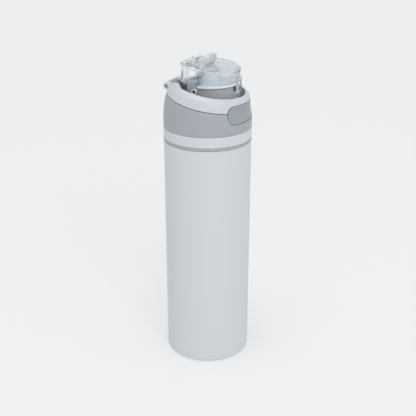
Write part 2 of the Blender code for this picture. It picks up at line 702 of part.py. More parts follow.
def flip_cap(shop):
    """Clear cap: domed top, tapered skirt open at the back, latch tongue and hinge knuckles."""
    deep = CAP_TOP_LIFT - CAP_FOOT_LIFT + 4.0
    inner = CAP_RADIUS - CAP_WALL
    profile = [(0.0, 0.5), (CAP_RADIUS - 8.0, 0.3), (CAP_RADIUS - 3.0, -0.2), (CAP_RADIUS - 0.9, -0.9),
               (CAP_RADIUS, -2.4), (skirt_radius(deep), -deep), (skirt_radius(deep) - CAP_WALL, -deep),
               (inner, -3.2), (inner - 1.4, -1.9), (0.0, -1.4)]
    cap = baked(shop, turned(shop, "flip_cap", [(r, z + CAP_TOP_LIFT) for r, z in profile]))
    lean_cap(cap)
    y, lift = CAP_AXIS_Y, CAP_AXIS_LIFT
    opening = slanted_plug(shop, "cap_foot_trim", 20.0, 0.0, CAP_FOOT_LIFT)
    for vertex in opening.data.vertices:
        vertex.co.z += TIP_SLOPE * vertex.co.y
    back = box(shop, "cap_back_trim", (-30, CAP_SKIRT_BACK_Y, 30), (30, 40, CAP_TOP_LIFT - 2.2), cutter=True)
    post_spaces = [box(shop, "post_space_" + tag, (a, CAP_POST_SPACE_Y, 40), (b, 40, 80), cutter=True)
                   for tag, a, b in (("left", -30, -CAP_BARREL_END), ("right", CAP_BARREL_END, 30))]
    barrel = rod(shop, "cap_barrel", (-CAP_BARREL_END, y, lift), (CAP_BARREL_END, y, lift),
                 CAP_BARREL_RADIUS, cutter=True)
    tongue = box(shop, "latch_tongue", (-TONGUE_HALF_WIDTH, TONGUE_FRONT_Y, TONGUE_FOOT_LIFT),
                 (TONGUE_HALF_WIDTH, TONGUE_BACK_Y, 54.0), cutter=True)
    window = box(shop, "knuckle_gap", (-CAP_BARREL_START, CAP_POST_SPACE_Y + 0.1, 50),
                 (CAP_BARREL_START, 40, 80), cutter=True)
    bore = rod(shop, "cap_barrel_bore", (-14, y, lift), (14, y, lift), CAP_PIN_BORE, cutter=True)
    catch = box(shop, "catch_window", (-CATCH_HALF_WIDTH, -32.0, CATCH_LIFTS[0]),
                (CATCH_HALF_WIDTH, -20.0, CATCH_LIFTS[1]), cutter=True)
    slot = slab(shop, "plug_slot", rounded_rectangle(*PLUG_SLOT), 12.0, cutter=True)
    slot.location = (0.0, mm(TAB_Y), mm(SEAM_HEIGHT + CAP_TOP_LIFT))
    cut(cap, opening, back, *post_spaces)
    join(cap, barrel, tongue)
    cut(cap, window, bore, catch, slot)
    return dress(cap, shop.clear_plastic)


def seal_plug(shop):
    """Silicone plug: pull tab above the cap, neck through its slot, disc and nub over the spout."""
    face = MOUTH_TOP_LIFT + GAP
    top = face + 1.6
    disc = turned(shop, "seal_plug", [
        (0.0, top), (PLUG_RADIUS - 0.5, top), (PLUG_RADIUS, top - 0.4), (PLUG_RADIUS, face), (3.0, face),
        (2.4, face - 2.1), (0.0, face - 2.1)], steps=STEPS_MEDIUM, centre_y=MOUTH_Y)
    neck = slab(shop, "plug_neck", rounded_rectangle(*PLUG_NECK), 7.0, cutter=True)
    neck.location = (0.0, mm(TAB_Y), mm(SEAM_HEIGHT + TAB_FOOT_LIFT - 2.3))
    height = 2 * (TAB_TOP_LIFT - TAB_FOOT_LIFT)
    head = slab(shop, "plug_tab", rounded_rectangle(TAB_WIDTH, height, TAB_CORNER), TAB_DEPTH, cutter=True)
    head.rotation_euler = (math.radians(90), 0.0, 0.0)
    head.location = (0.0, mm(TAB_Y), mm(SEAM_HEIGHT + TAB_FOOT_LIFT))
    trim = box(shop, "tab_foot_trim", (-9, -8, 50), (9, 5, TAB_FOOT_LIFT + 0.1), cutter=True)
    cut(head, trim)
    return dress(join(disc, neck, head), shop.silicone)


def ring_profile():
    """Closed section of the carry ring before it is trimmed, outer side first."""
    lifts = [52.0, 49.0, 46.0, 43.0, 40.0, 37.0, 33.0, 29.0, 24.0]
    outer = [(lid_radius(lift), lift) for lift in lifts]
    inner = [(min(RING_BORE, lid_radius(lift) - RING_WALL), lift) for lift in reversed(lifts)]
    return outer + inner


def ring_span(shop):
    """Space that the ring fills: slanted foot, and a top that levels off and slopes outwards."""
    high, low, reach, bore = 60.0, 20.0, LID_RADIUS + 12.0, 22.0
    profile = [(bore, high), (RING_FACET_INNER, high), (RING_FACET_OUTER, high), (reach, high),
               (reach, low), (bore, low)]
    span = baked(shop, turned(shop, "ring_span", profile, closed=True, cutter=True))
    middle = mm(SEAM_HEIGHT + (high + low) / 2)
    for vertex in span.data.vertices:
        x, y = vertex.co.x, vertex.co.y
        lift = RING_FOOT_LIFT + SEAM_GAP + RING_FOOT_SLOPE * y / mm(1)
        if vertex.co.z > middle:
            radius = math.hypot(x, y)
            rim_y = RING_RIM_RADIUS * y / radius
            share = (radius / mm(1) - RING_FACET_INNER) / (RING_FACET_OUTER - RING_FACET_INNER)
            lift = ring_top(rim_y) - ring_facet_drop(rim_y) * min(1.0, max(0.0, share))
        vertex.co.z = mm(SEAM_HEIGHT + lift)
    return span


def ring_ledge(shop):
    """Flat ledge that widens the ring towards its hinge, before its top is trimmed."""
    half = [LEDGE_BACK, LEDGE_SIDE, LEDGE_END, (34.0, 20.0), (20.0, 34.0)]
    outline = half + [(-x, y) for x, y in reversed(half)]
    low, high = mm(SEAM_HEIGHT + LEDGE_FOOT_LIFT), mm(SEAM_HEIGHT + 56.0)
    count = len(outline)
    points = [(mm(x), mm(y), z) for z in (low, high) for x, y in outline]
    sides = [(i, (i + 1) % count, (i + 1) % count + count, i + count) for i in range(count)]
    mesh = bpy.data.meshes.new("ring_ledge")
    mesh.from_pydata(points, [], [tuple(reversed(range(count))), tuple(range(count, 2 * count)), *sides])
    ledge = shop.place("ring_ledge", mesh, True)
    work = bmesh.new()
    work.from_mesh(mesh)
    bmesh.ops.recalc_face_normals(work, faces=work.faces)
    work.to_mesh(mesh)
    work.free()
    lifts = [58.0, 52.0, 49.0, 46.0, 43.0, 40.0]
    within = [(0.0, 58.0), *[(lid_radius(lift) - RING_WALL / 2, lift) for lift in lifts], (0.0, 40.0)]
    return keep_inside(ledge, turned(shop, "ledge_limit", within, cutter=True))


def carry_ring(shop):
    """White carry ring with its ledge, its two outer hinge knuckles and their pin."""
    ring = turned(shop, "carry_ring", ring_profile(), closed=True)
    keep_inside(join(ring, ring_ledge(shop)), ring_span(shop))
    y, lift, start, end = RING_AXIS_Y, RING_AXIS_LIFT, 4.0, RING_KNUCKLE_END
    knuckles = [rod(shop, "ring_knuckle_" + tag, (a, y, lift), (b, y, lift), RING_KNUCKLE_RADIUS, cutter=True)
                for tag, a, b in (("left", -end, -start), ("right", start, end))]
    webs = [box(shop, "ring_web_" + tag, (a, y - 3.0, lift - 2.0), (b, y, lift + 2.0), cutter=True)
            for tag, a, b in (("left", 0.5 - end, -start - 0.2), ("right", start + 0.2, end - 0.5))]
    notch = box(shop, "ring_hinge_notch", (-RING_NOTCH_END, RING_NOTCH_Y, 30.0),
                (RING_NOTCH_END, 42.0, RING_AXIS_LIFT + 7.0), cutter=True)
    bore = rod(shop, "ring_knuckle_bore", (-16, y, lift), (16, y, lift), RING_PIN_BORE, cutter=True)
    gap = pill_prism(shop, "ring_button_gap", SEAM_GAP, True)
    cut(join(ring, *webs, *knuckles), notch, bore, gap)
    dress(ring, shop.white_coat)
    pin = rod(shop, "ring_hinge_pin", (-RING_PIN_END, y, lift), (RING_PIN_END, y, lift), RING_PIN_RADIUS)
    dress(pin, shop.steel)


def release_button(shop):
    """Button face, the latch slider behind it and the return spring."""
    lifts = [35.0, 32.0, 29.0, 26.0, 22.0, 18.0]
    face = turned(shop, "release_button", [(lid_radius(lift) - BUTTON_SKIN, lift) for lift in lifts]
                  + [(BUTTON_BACK_RADIUS, lifts[-1]), (BUTTON_BACK_RADIUS, lifts[0])], closed=True)
    keep_inside(face, pill_prism(shop, "button_outline", 0.0, True))
    dress(face, shop.button_plastic)
    wide, (front, back) = LATCH_HALF_WIDTH, LATCH_POST_Y
    slider = box(shop, "latch_slider", (-wide, -32.6, LATCH_LIFT - 2.0), (wide, back, LATCH_LIFT + 1.8))
    post = box(shop, "latch_post", (-wide, front, LATCH_LIFT - 1.0), (wide, back, 42.0), cutter=True)
    nose = box(shop, "latch_nose", (-2.0, front - 0.3, CATCH_LIFTS[0] + 0.6),
               (2.0, front + 1.0, CATCH_LIFTS[1] - 0.6), cutter=True)
    dress(join(slider, post, nose), shop.white_plastic)
    spring = coil(shop, "button_spring", 2.1, 7.2, 6, 0.35)
    spring.rotation_euler = (math.radians(90), 0.0, 0.0)
    spring.location = (0.0, mm(SPRING_Y), mm(SEAM_HEIGHT + LATCH_LIFT))
    dress(spring, shop.steel)


def hinge_axes(shop):
    """Parent moving pieces to empties that stand on their joint axes."""
    axes = {
        "cap_axis": ((0.0, CAP_AXIS_Y, CAP_AXIS_LIFT), ("flip_cap", "seal_plug")),
        "ring_axis": ((0.0, RING_AXIS_Y, RING_AXIS_LIFT), ("carry_ring", "ring_hinge_pin")),
        "button_axis": ((0.0, -BODY_RADIUS, BUTTON_LIFT), ("release_button", "latch_slider")),
    }
    for name, ((x, y, lift), pieces) in axes.items():
        empty = bpy.data.objects.new(name, None)
        empty.location = (mm(x), mm(y), mm(SEAM_HEIGHT + lift))
        shop.parts.objects.link(empty)
        bpy.context.view_layer.update()
        for piece in pieces:
            child = bpy.data.objects[piece]
            child.parent = empty
            child.matrix_parent_inverse = empty.matrix_world.inverted()


def main():
    clear_scene()
    shop = Workshop()
    outer_shell(shop)
    inner_liner(shop)
    base_pieces(shop)
    lid_skirt_rings(shop)
    thread_core(shop)
    lid_shell(shop)
    mouthpiece(shop)
    hinge_bracket(shop)
    bracket_rivets(shop)
    cap_hinge(shop)
    flip_cap(shop)
    seal_plug(shop)
    carry_ring(shop)
    release_button(shop)
    hinge_axes(shop)


main()
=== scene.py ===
"""Looks of the insulated water bottle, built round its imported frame.

Every sub-assembly is a class that models and dresses its own pieces. Heights called "lift" are
millimetres above the seam between bottle and lid. The button is at the front, at low Y, and both
hinges are at the back. FINE, MEDIUM and SMALL are points round a turned piece, and FAR and TALL are
places past every piece, for cutters.
"""
import logging
import math
from collections.abc import Callable, Sequence
from dataclasses import dataclass
from enum import Enum

import bpy
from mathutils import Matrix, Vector


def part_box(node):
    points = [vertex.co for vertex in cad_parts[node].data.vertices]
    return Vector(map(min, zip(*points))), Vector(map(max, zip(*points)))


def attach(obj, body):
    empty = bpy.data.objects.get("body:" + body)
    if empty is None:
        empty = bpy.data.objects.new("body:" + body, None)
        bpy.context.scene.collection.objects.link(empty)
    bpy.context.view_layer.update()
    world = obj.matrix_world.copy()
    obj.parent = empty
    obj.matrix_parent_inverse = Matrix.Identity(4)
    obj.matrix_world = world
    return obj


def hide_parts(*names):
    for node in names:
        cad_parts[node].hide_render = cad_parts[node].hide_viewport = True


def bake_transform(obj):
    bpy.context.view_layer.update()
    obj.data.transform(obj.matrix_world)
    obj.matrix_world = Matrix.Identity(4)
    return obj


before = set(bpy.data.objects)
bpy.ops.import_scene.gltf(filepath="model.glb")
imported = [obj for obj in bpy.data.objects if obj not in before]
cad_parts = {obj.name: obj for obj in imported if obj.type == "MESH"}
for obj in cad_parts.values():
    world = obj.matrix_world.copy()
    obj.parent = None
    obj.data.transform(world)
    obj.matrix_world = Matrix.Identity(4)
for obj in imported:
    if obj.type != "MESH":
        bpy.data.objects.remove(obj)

LOG = logging.getLogger("bottle")
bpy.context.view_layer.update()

Point = tuple[float, float]
Triple = tuple[float, float, float]

MM = 0.001
FINE = 160
MEDIUM = 96
SMALL = 48
FAR = 40.0
TALL = 60.0


class Body(Enum):
    """Names of the rigid bodies that pieces ride on."""

    BOTTLE = "bottle"
    LIFT_RING = "lift_ring"
    LID = "lid"
    CAP = "cap"
    RING = "ring"
    BUTTON = "button"


# ---------------------------------------------------------------- shader tools


class Socket:
    """An output socket of a material that takes part in arithmetic."""

    def __init__(self, graph: "Graph", out: bpy.types.NodeSocket) -> None:
        """Keep the socket and the graph that it belongs to."""
        self.graph = graph
        self.out = out

    def __add__(self, other: "Socket | float") -> "Socket":
        """Sum."""
        return self.graph.math("ADD", self, other)

    def __radd__(self, other: float) -> "Socket":
        """Reflected sum."""
        return self.graph.math("ADD", other, self)

    def __sub__(self, other: "Socket | float") -> "Socket":
        """Difference."""
        return self.graph.math("SUBTRACT", self, other)

    def __rsub__(self, other: float) -> "Socket":
        """Reflected difference."""
        return self.graph.math("SUBTRACT", other, self)

    def __mul__(self, other: "Socket | float") -> "Socket":
        """Product."""
        return self.graph.math("MULTIPLY", self, other)

    def __rmul__(self, other: float) -> "Socket":
        """Reflected product."""
        return self.graph.math("MULTIPLY", other, self)


class Graph:
    """A material's node tree with its Principled shader."""

    def __init__(self, name: str) -> None:
        """Create the material.

        Args:
            name: Name of the material.
        """
        self.material = bpy.data.materials.new(name)
        self.material.use_nodes = True
        self.tree = self.material.node_tree
        self.shader = self.tree.nodes["Principled BSDF"]

    def node(self, kind: str, settings: dict[str, object] | None = None,
             inputs: dict[str | int, object] | None = None) -> bpy.types.Node:
        """Add a node.

        Args:
            kind: Blender's node type.
            settings: Attributes of the node, set first.
            inputs: Values or Sockets for its inputs, by name or index.

        Returns:
            The new node.
        """
        made = self.tree.nodes.new(kind)
        for key, value in (settings or {}).items():
            setattr(made, key, value)
        for key, value in (inputs or {}).items():
            self.feed(made.inputs[key], value)
        return made

    def feed(self, slot: bpy.types.NodeSocket, value: object) -> None:
        """Link a Socket to an input, or set the input's own value.

        Args:
            slot: The node's input.
            value: A Socket, or a plain value.
        """
        if isinstance(value, Socket):
            self.tree.links.new(value.out, slot)
        else:
            slot.default_value = value

    def out(self, made: bpy.types.Node, name: str | int = 0) -> Socket:
        """Wrap one output of a node."""
        return Socket(self, made.outputs[name])

    def math(self, operation: str, first: Socket | float, second: Socket | float = 0.0) -> Socket:
        """Add one Math node and return its result."""
        return self.out(self.node("ShaderNodeMath", {"operation": operation}, {0: first, 1: second}))

    def position(self, stretch: Triple = (1.0, 1.0, 1.0)) -> Socket:
        """Object coordinates, stretched along the axes."""
        where = self.out(self.node("ShaderNodeTexCoord"), "Object")
        return self.out(self.node("ShaderNodeMapping", inputs={"Vector": where, "Scale": stretch}))

    def noise(self, scale: float, detail: float = 2.0, where: Socket | None = None) -> Socket:
        """Noise between 0 and 1 with a number of cells per metre."""
        inputs = {"Vector": where or self.position(), "Scale": scale, "Detail": detail}
        return self.out(self.node("ShaderNodeTexNoise", inputs=inputs), "Fac")

    def cells(self, scale: float, where: Socket | None = None) -> Socket:
        """Distance to the nearest cell centre, for pitted surfaces."""
        inputs = {"Vector": where or self.position(), "Scale": scale}
        return self.out(self.node("ShaderNodeTexVoronoi", inputs=inputs), "Distance")

    def blend(self, factor: Socket | float, first: object, second: object) -> Socket:
        """Mix two colours by a factor."""
        made = self.node("ShaderNodeMix", {"data_type": "RGBA"}, {0: factor, 6: first, 7: second})
        return self.out(made, 2)

    def bump(self, height: Socket, strength: float, distance: float) -> Socket:
        """Normal from a height in millimetres of relief."""
        inputs = {"Height": height, "Strength": strength, "Distance": distance}
        return self.out(self.node("ShaderNodeBump", inputs=inputs))

    def height_above(self, low: float, high: float, tilt: float = 0.0) -> Socket:
        """Share of the way up the object between two heights, clamped to 0 and 1.

        Args:
            low: Height in metres where the share is 0.
            high: Height where it's 1.
            tilt: Rise of both heights per metre along Y.

        Returns:
            The share.
        """
        where = self.out(self.node("ShaderNodeTexCoord"), "Object")
        split = self.node("ShaderNodeSeparateXYZ", inputs={0: where})
        level = self.out(split, "Z") - self.out(split, "Y") * tilt
        made = self.node("ShaderNodeMapRange", {"clamp": True}, {0: level, 1: low, 2: high, 3: 0.0, 4: 1.0})
        return self.out(made)


def shaded(colour: Triple, factor: float) -> tuple[float, float, float, float]:
    """A colour times a factor, with alpha 1."""
    return (colour[0] * factor, colour[1] * factor, colour[2] * factor, 1.0)


@dataclass(frozen=True)
class Finish:
    """A moulded or coated surface: colour drift, fine grain with pitted specks in its relief, and soft
    wear.

    Attributes:
        name: Name of the material.
        colour: Linear base colour.
        roughness: Middle roughness.
        grain: Cells of the fine grain per metre.
        relief: Depth of the grain in metres.
        drift: Share by which the colour wanders over the surface.
        specular: Specular level.
        metallic: 1 for metal.
        coat: Weight of a clear coat.
        coat_roughness: Roughness of that coat.
        subsurface: Weight of light that enters the surface.
        depth: How far that light travels, in metres.
        bump_strength: Strength of the relief.
    """

    name: str
    colour: Triple
    roughness: float = 0.4
    grain: float = 2500.0
    relief: float = 2e-5
    drift: float = 0.05
    specular: float = 0.5
    metallic: float = 0.0
    coat: float = 0.0
    coat_roughness: float = 0.15
    subsurface: float = 0.0
    depth: float = 0.007
    bump_strength: float = 0.6

    def surface(self, graph: Graph) -> tuple[Socket, Socket, Socket]:
        """Pattern of the surface, for subclasses to change.

        Args:
            graph: The material's graph.

        Returns:
            Colour, roughness and height of the surface.
        """
        broad = graph.noise(22.0, 3.0)
        fine = graph.noise(self.grain, 2.0)
        specks = graph.cells(self.grain * 0.35)
        colour = self.drifting(graph, broad * 0.75 + fine * 0.25)
        roughness = self.roughness * (1.0 + (broad - 0.5) * 0.3 + (fine - 0.5) * 0.25)
        return colour, roughness, fine * 0.6 + specks * 0.4

    def drifting(self, graph: Graph, tone: Socket) -> Socket:
        """Colour that wanders a little to both sides of the finish's own."""
        darker, lighter = (shaded(self.colour, 1.0 + side * self.drift) for side in (-1, 1))
        return graph.blend(tone, darker, lighter)

    def make(self) -> bpy.types.Material:
        """Build the material.

        Returns:
            The material.
        """
        graph = Graph(self.name)
        colour, roughness, height = self.surface(graph)
        shader = graph.shader.inputs
        graph.feed(shader["Base Color"], colour)
        graph.feed(shader["Roughness"], roughness)
        graph.feed(shader["Normal"], graph.bump(height, self.bump_strength, self.relief))
        shader["Metallic"].default_value = self.metallic
        shader["Specular IOR Level"].default_value = self.specular
        shader["Coat Weight"].default_value = self.coat
        shader["Coat Roughness"].default_value = self.coat_roughness
        shader["Subsurface Weight"].default_value = self.subsurface
        shader["Subsurface Radius"].default_value = (self.depth, self.depth, self.depth)
        self.extra(graph)
        return graph.material

    def extra(self, graph: Graph) -> None:
        """Hook for what only one kind of finish has."""


@dataclass(frozen=True)
class PowderCoat(Finish):
    """Powder coat on steel: orange peel over a fine sand grain, slightly scuffed at the foot."""

    peel: float = 420.0
    scuff_low: float = 0.0
    scuff_high: float = 0.012
    scuff_cells: float = 900.0
    scuff_share: float = 0.66

    def surface(self, graph: Graph) -> tuple[Socket, Socket, Socket]:
        """Add the orange peel and the scuffs near the foot.

        Args:
            graph: The material's graph.

        Returns:
            Colour, roughness and height of the coat.
        """
        colour, roughness, height = super().surface(graph)
        peel = graph.noise(self.peel, 1.0)
        near_foot = 1.0 - graph.height_above(self.scuff_low, self.scuff_high)
        specks = graph.math("GREATER_THAN", graph.noise(self.scuff_cells, 4.0), self.scuff_share)
        scuffs = specks * near_foot
        colour = graph.blend(scuffs * 0.5, colour, shaded(self.colour, 0.82))
        return colour, roughness + scuffs * 0.15, height * 0.5 + peel * 0.5


@dataclass(frozen=True)
class BrushedSteel(Finish):
    """Steel with brush lines round the axis."""

    line_cells: float = 60.0
    line_stretch: float = 60.0

    def surface(self, graph: Graph) -> tuple[Socket, Socket, Socket]:
        """Lay fine lines round the axis.

        Args:
            graph: The material's graph.

        Returns:
            Colour, roughness and height of the brushed metal.
        """
        lines = graph.noise(self.line_cells, 4.0, graph.position((1.0, 1.0, self.line_stretch)))
        broad = graph.noise(30.0, 2.0)
        colour = self.drifting(graph, lines * 0.7 + broad * 0.3)
        return colour, self.roughness + (lines - 0.5) * 0.2, lines


@dataclass(frozen=True)
class ClearPlastic(Finish):
    """Clear moulded plastic that refracts, with a breath of haze and flow marks."""

    ior: float = 1.27
    clarity: float = 1.0
    facing: float = 0.15
    edge_blend: float = 0.74
    # painted shade: colour of the skirt below the tilted top, and the band where it starts
    painted_skirt_shade: Triple = (0.60, 0.71, 0.80)
    painted_shade_low: float = 0.2525
    painted_shade_high: float = 0.2565
    tilt: float = 0.136

    def surface(self, graph: Graph) -> tuple[Socket, Socket, Socket]:
        """Painted bluish shade on the skirt below the tilted top, standing in for the darker light that has
        passed more plastic there.

        Args:
            graph: The material's graph.

        Returns:
            Colour, roughness and height of the surface.
        """
        colour, roughness, height = super().surface(graph)
        # painted shade: the skirt below the tilted top is coloured bluish for the refracted shade, the top
        # keeps the clear colour
        share = graph.height_above(self.painted_shade_low, self.painted_shade_high, self.tilt)
        return graph.blend(share, shaded(self.painted_skirt_shade, 1.0), colour), roughness, height

    def extra(self, graph: Graph) -> None:
        """Light bends in the plastic's edges and goes nearly straight through its thin walls.

        Args:
            graph: The material's graph.
        """
        shader = graph.shader.inputs
        shader["Transmission Weight"].default_value = self.clarity
        shader["IOR"].default_value = self.ior
        rim = graph.out(graph.node("ShaderNodeLayerWeight", inputs={"Blend": self.edge_blend}), "Facing")
        graph.feed(shader["Alpha"], self.facing + rim * (1.0 - self.facing))


@dataclass(frozen=True)
class Palette:
    """All materials of the bottle, made once."""

    coat: bpy.types.Material
    band: bpy.types.Material
    ring: bpy.types.Material
    lid: bpy.types.Material
    button: bpy.types.Material
    white: bpy.types.Material
    clear: bpy.types.Material
    silicone: bpy.types.Material
    rubber: bpy.types.Material
    bumper: bpy.types.Material
    polished: bpy.types.Material
    steel: bpy.types.Material
    dark: bpy.types.Material

    @classmethod
    def mix(cls) -> "Palette":
        """Make every finish.

        Returns:
            The palette.
        """
        return cls(
            coat=PowderCoat("white_powder_coat", (0.63, 0.65, 0.685), 0.42, grain=3200.0,
                            drift=0.02).make(),
            band=Finish("white_band_plastic", (0.63, 0.65, 0.68), 0.40, drift=0.02).make(),
            ring=Finish("white_ring_plastic", (0.585, 0.605, 0.64), 0.36, drift=0.02).make(),
            lid=Finish("grey_lid_plastic", (0.375, 0.395, 0.425), 0.42, drift=0.04).make(),
            button=Finish("grey_button_plastic", (0.335, 0.36, 0.395), 0.40, drift=0.04).make(),
            white=Finish("white_spout_plastic", (0.74, 0.76, 0.79), 0.30, drift=0.02, coat=0.2).make(),
            clear=ClearPlastic("clear_cap_plastic", (0.96, 0.98, 0.995), 0.03, grain=300.0, relief=6e-6,
                               drift=0.01).make(),
            silicone=Finish("translucent_silicone", (0.64, 0.66, 0.69), 0.55, drift=0.03,
                            subsurface=0.8).make(),
            rubber=Finish("grey_rubber", (0.30, 0.31, 0.325), 0.62, relief=4e-5, drift=0.06).make(),
            bumper=Finish("grey_bumper_rubber", (0.42, 0.43, 0.455), 0.55, relief=3e-5, drift=0.04).make(),
            polished=BrushedSteel("polished_steel", (0.80, 0.80, 0.79), 0.16, metallic=1.0,
                                  drift=0.05).make(),
            steel=BrushedSteel("brushed_steel", (0.56, 0.56, 0.55), 0.30, metallic=1.0, drift=0.15).make(),
            dark=BrushedSteel("dark_steel", (0.10, 0.10, 0.105), 0.38, metallic=1.0, drift=0.2).make(),
        )


# ---------------------------------------------------------------- modelling tools


def quiet() -> None:
    """Leave edit mode and select nothing."""
    if bpy.context.object and bpy.context.object.mode != "OBJECT":
        bpy.ops.object.mode_set(mode="OBJECT")
    bpy.ops.object.select_all(action="DESELECT")


def pick(obj: bpy.types.Object) -> None:
    """Make an object the only selected one and the active one.

    Args:
        obj: The object.
    """
    quiet()
    obj.select_set(True)
    bpy.context.view_layer.objects.active = obj


def named(obj: bpy.types.Object, name: str) -> bpy.types.Object:
    """Name an object and its mesh.

    Args:
        obj: The object.
        name: Its new name.

    Returns:
        The object.
    """
    obj.name = name
    obj.data.name = name
    return obj


def settle(obj: bpy.types.Object) -> bpy.types.Object:
    """Put an object's place, turn and size into its mesh.

    Args:
        obj: The object.

    Returns:
        The object, at the origin.
    """
    pick(obj)
    bpy.ops.object.transform_apply(location=True, rotation=True, scale=True)
    return obj


def select_points(obj: bpy.types.Object, test: Callable[[int, Vector], bool]) -> None:
    """Select the points of an object that pass a test, leaving edit mode open.

    Args:
        obj: The active mesh object.
        test: Told a point's number and place, says whether it's selected.
    """
    bpy.ops.object.mode_set(mode="EDIT")
    bpy.ops.mesh.select_mode(type="VERT")
    bpy.ops.mesh.select_all(action="DESELECT")
    bpy.ops.object.mode_set(mode="OBJECT")
    for vertex in obj.data.vertices:
        vertex.select = test(vertex.index, vertex.co)
    bpy.ops.object.mode_set(mode="EDIT")


def tidy_normals(obj: bpy.types.Object) -> None:
    """Merge doubles and turn all faces outwards.

    Args:
        obj: The mesh object.
    """
    pick(obj)
    bpy.ops.object.mode_set(mode="EDIT")
    bpy.ops.mesh.select_all(action="SELECT")
    bpy.ops.mesh.remove_doubles(threshold=1e-6)
    bpy.ops.mesh.normals_make_consistent(inside=False)
    bpy.ops.object.mode_set(mode="OBJECT")


def soften(obj: bpy.types.Object, angle: float = 35.0) -> bpy.types.Object:
    """Shade smooth, with sharp edges kept crisp.

    Args:
        obj: The mesh object.
        angle: Angle in degrees from which an edge stays crisp.

    Returns:
        The object.
    """
    pick(obj)
    bpy.ops.object.shade_smooth_by_angle(angle=math.radians(angle))
    quiet()
    return obj


def arc(centre: Point, radius: float, start: float, end: float, steps: int = 6) -> list[Point]:
    """Points of a round stretch of a profile.

    Args:
        centre: Centre as (radius, lift).
        radius: Radius of the round stretch.
        start: First angle in degrees, 0 outwards and 90 upwards.
        end: Last angle in degrees.
        steps: Number of steps between them.

    Returns:
        The points from start to end.
    """
    turns = [math.radians(start + (end - start) * i / steps) for i in range(steps + 1)]
    return [(centre[0] + radius * math.cos(t), centre[1] + radius * math.sin(t)) for t in turns]


def lathe(name: str, profile: Sequence[Point], base: float, segments: int = FINE,
          centre: Point = (0.0, 0.0), closed: bool = False) -> bpy.types.Object:
    """Turned solid, made by extruding and scaling one ring of edges along its profile.

    Args:
        name: Name of the piece.
        profile: (radius, lift) points in millimetres. An open profile starts and ends at radius 0.
        base: Height of lift 0 in metres.
        segments: Points round the ring.
        centre: The axis in X and Y, in millimetres.
        closed: True for a ring, whose last point is bridged to its first.

    Returns:
        The mesh object, at the origin.
    """
    axis = (centre[0] * MM, centre[1] * MM)
    rings = list(profile) if closed else list(profile)[1:]
    radius, lift = rings[0]
    quiet()
    bpy.ops.mesh.primitive_circle_add(vertices=segments, radius=radius * MM,
                                      location=(*axis, base + lift * MM))
    obj = settle(named(bpy.context.object, name))
    bpy.ops.object.mode_set(mode="EDIT")
    bpy.ops.mesh.select_mode(type="EDGE")
    bpy.ops.mesh.select_all(action="SELECT")
    for next_radius, next_lift in rings[1:]:
        bpy.ops.mesh.extrude_edges_indiv()
        bpy.ops.transform.translate(value=(0.0, 0.0, (next_lift - lift) * MM))
        if next_radius > 0.0:
            share = next_radius / radius
            bpy.ops.transform.resize(value=(share, share, 1.0), center_override=(*axis, base))
        else:
            bpy.ops.mesh.merge(type="CENTER")
        radius, lift = next_radius, next_lift
    bpy.ops.object.mode_set(mode="OBJECT")
    count = len(obj.data.vertices)
    if closed:
        select_points(obj, lambda i, _: i < segments or i >= count - segments)
        bpy.ops.mesh.select_mode(type="EDGE")
        bpy.ops.mesh.bridge_edge_loops()
    else:
        select_points(obj, lambda i, _: i < segments)
        bpy.ops.mesh.select_mode(type="EDGE")
        bpy.ops.mesh.extrude_edges_indiv()
        bpy.ops.transform.translate(value=(0.0, 0.0, (profile[0][1] - profile[1][1]) * MM))
        bpy.ops.mesh.merge(type="CENTER")
    tidy_normals(obj)
    return obj


def warp(obj: bpy.types.Object, move: Callable[[Vector], Triple]) -> bpy.types.Object:
    """Move every point of a mesh by a rule.

    Args:
        obj: The mesh object.
        move: Maps a point's place to its new place.

    Returns:
        The object.
    """
    for vertex in obj.data.vertices:
        vertex.co = move(vertex.co)
    obj.data.update()
    return obj


def block(name: str, low: Triple, high: Triple, base: float, edge: float = 0.0,
          steps: int = 3) -> bpy.types.Object:
    """Box between two corners in millimetres, with rounded edges.

    Args:
        name: Name of the piece.
        low: Lowest corner, its third value a lift.
        high: Highest corner.
        base: Height of lift 0 in metres.
        edge: Radius of the edges in millimetres.
        steps: Segments of each rounded edge.

    Returns:
        The mesh object, at the origin.
    """
    quiet()
    middle = [(a + b) / 2 * MM for a, b in zip(low, high)]
    bpy.ops.mesh.primitive_cube_add(size=1.0, location=(middle[0], middle[1], middle[2] + base))
    obj = named(bpy.context.object, name)
    obj.scale = [(b - a) * MM for a, b in zip(low, high)]
    settle(obj)
    if edge:
        bpy.ops.object.mode_set(mode="EDIT")
        bpy.ops.mesh.select_all(action="SELECT")
        bpy.ops.mesh.bevel(offset=edge * MM, segments=steps, affect="EDGES")
        bpy.ops.object.mode_set(mode="OBJECT")
    return obj


def bar(name: str, start: Triple, end: Triple, radius: float, base: float, chamfer: float = 0.0,
        segments: int = SMALL) -> bpy.types.Object:
    """Round bar between two points in millimetres.

    Args:
        name: Name of the piece.
        start: Middle of one end, its third value a lift.
        end: Middle of the other end.
        radius: Radius of the bar.
        base: Height of lift 0 in metres.
        chamfer: Width of the chamfer round its ends.
        segments: Points round the bar.

    Returns:
        The mesh object, at the origin.
    """
    quiet()
    first, last = Vector(start) * MM, Vector(end) * MM
    span = last - first
    bpy.ops.mesh.primitive_cylinder_add(vertices=segments, radius=radius * MM, depth=span.length)
    obj = named(bpy.context.object, name)
    if chamfer:
        bpy.ops.object.mode_set(mode="EDIT")
        bpy.ops.mesh.select_mode(type="FACE")
        bpy.ops.mesh.select_all(action="DESELECT")
        bpy.ops.object.mode_set(mode="OBJECT")
        for face in obj.data.polygons:
            face.select = abs(face.normal.z) > 0.9
        bpy.ops.object.mode_set(mode="EDIT")
        bpy.ops.mesh.bevel(offset=chamfer * MM, segments=2, affect="EDGES")
        bpy.ops.object.mode_set(mode="OBJECT")
    obj.rotation_mode = "QUATERNION"
    obj.rotation_quaternion = span.to_track_quat("Z", "Y")
    obj.location = first + span / 2 + Vector((0.0, 0.0, base))
    return settle(obj)


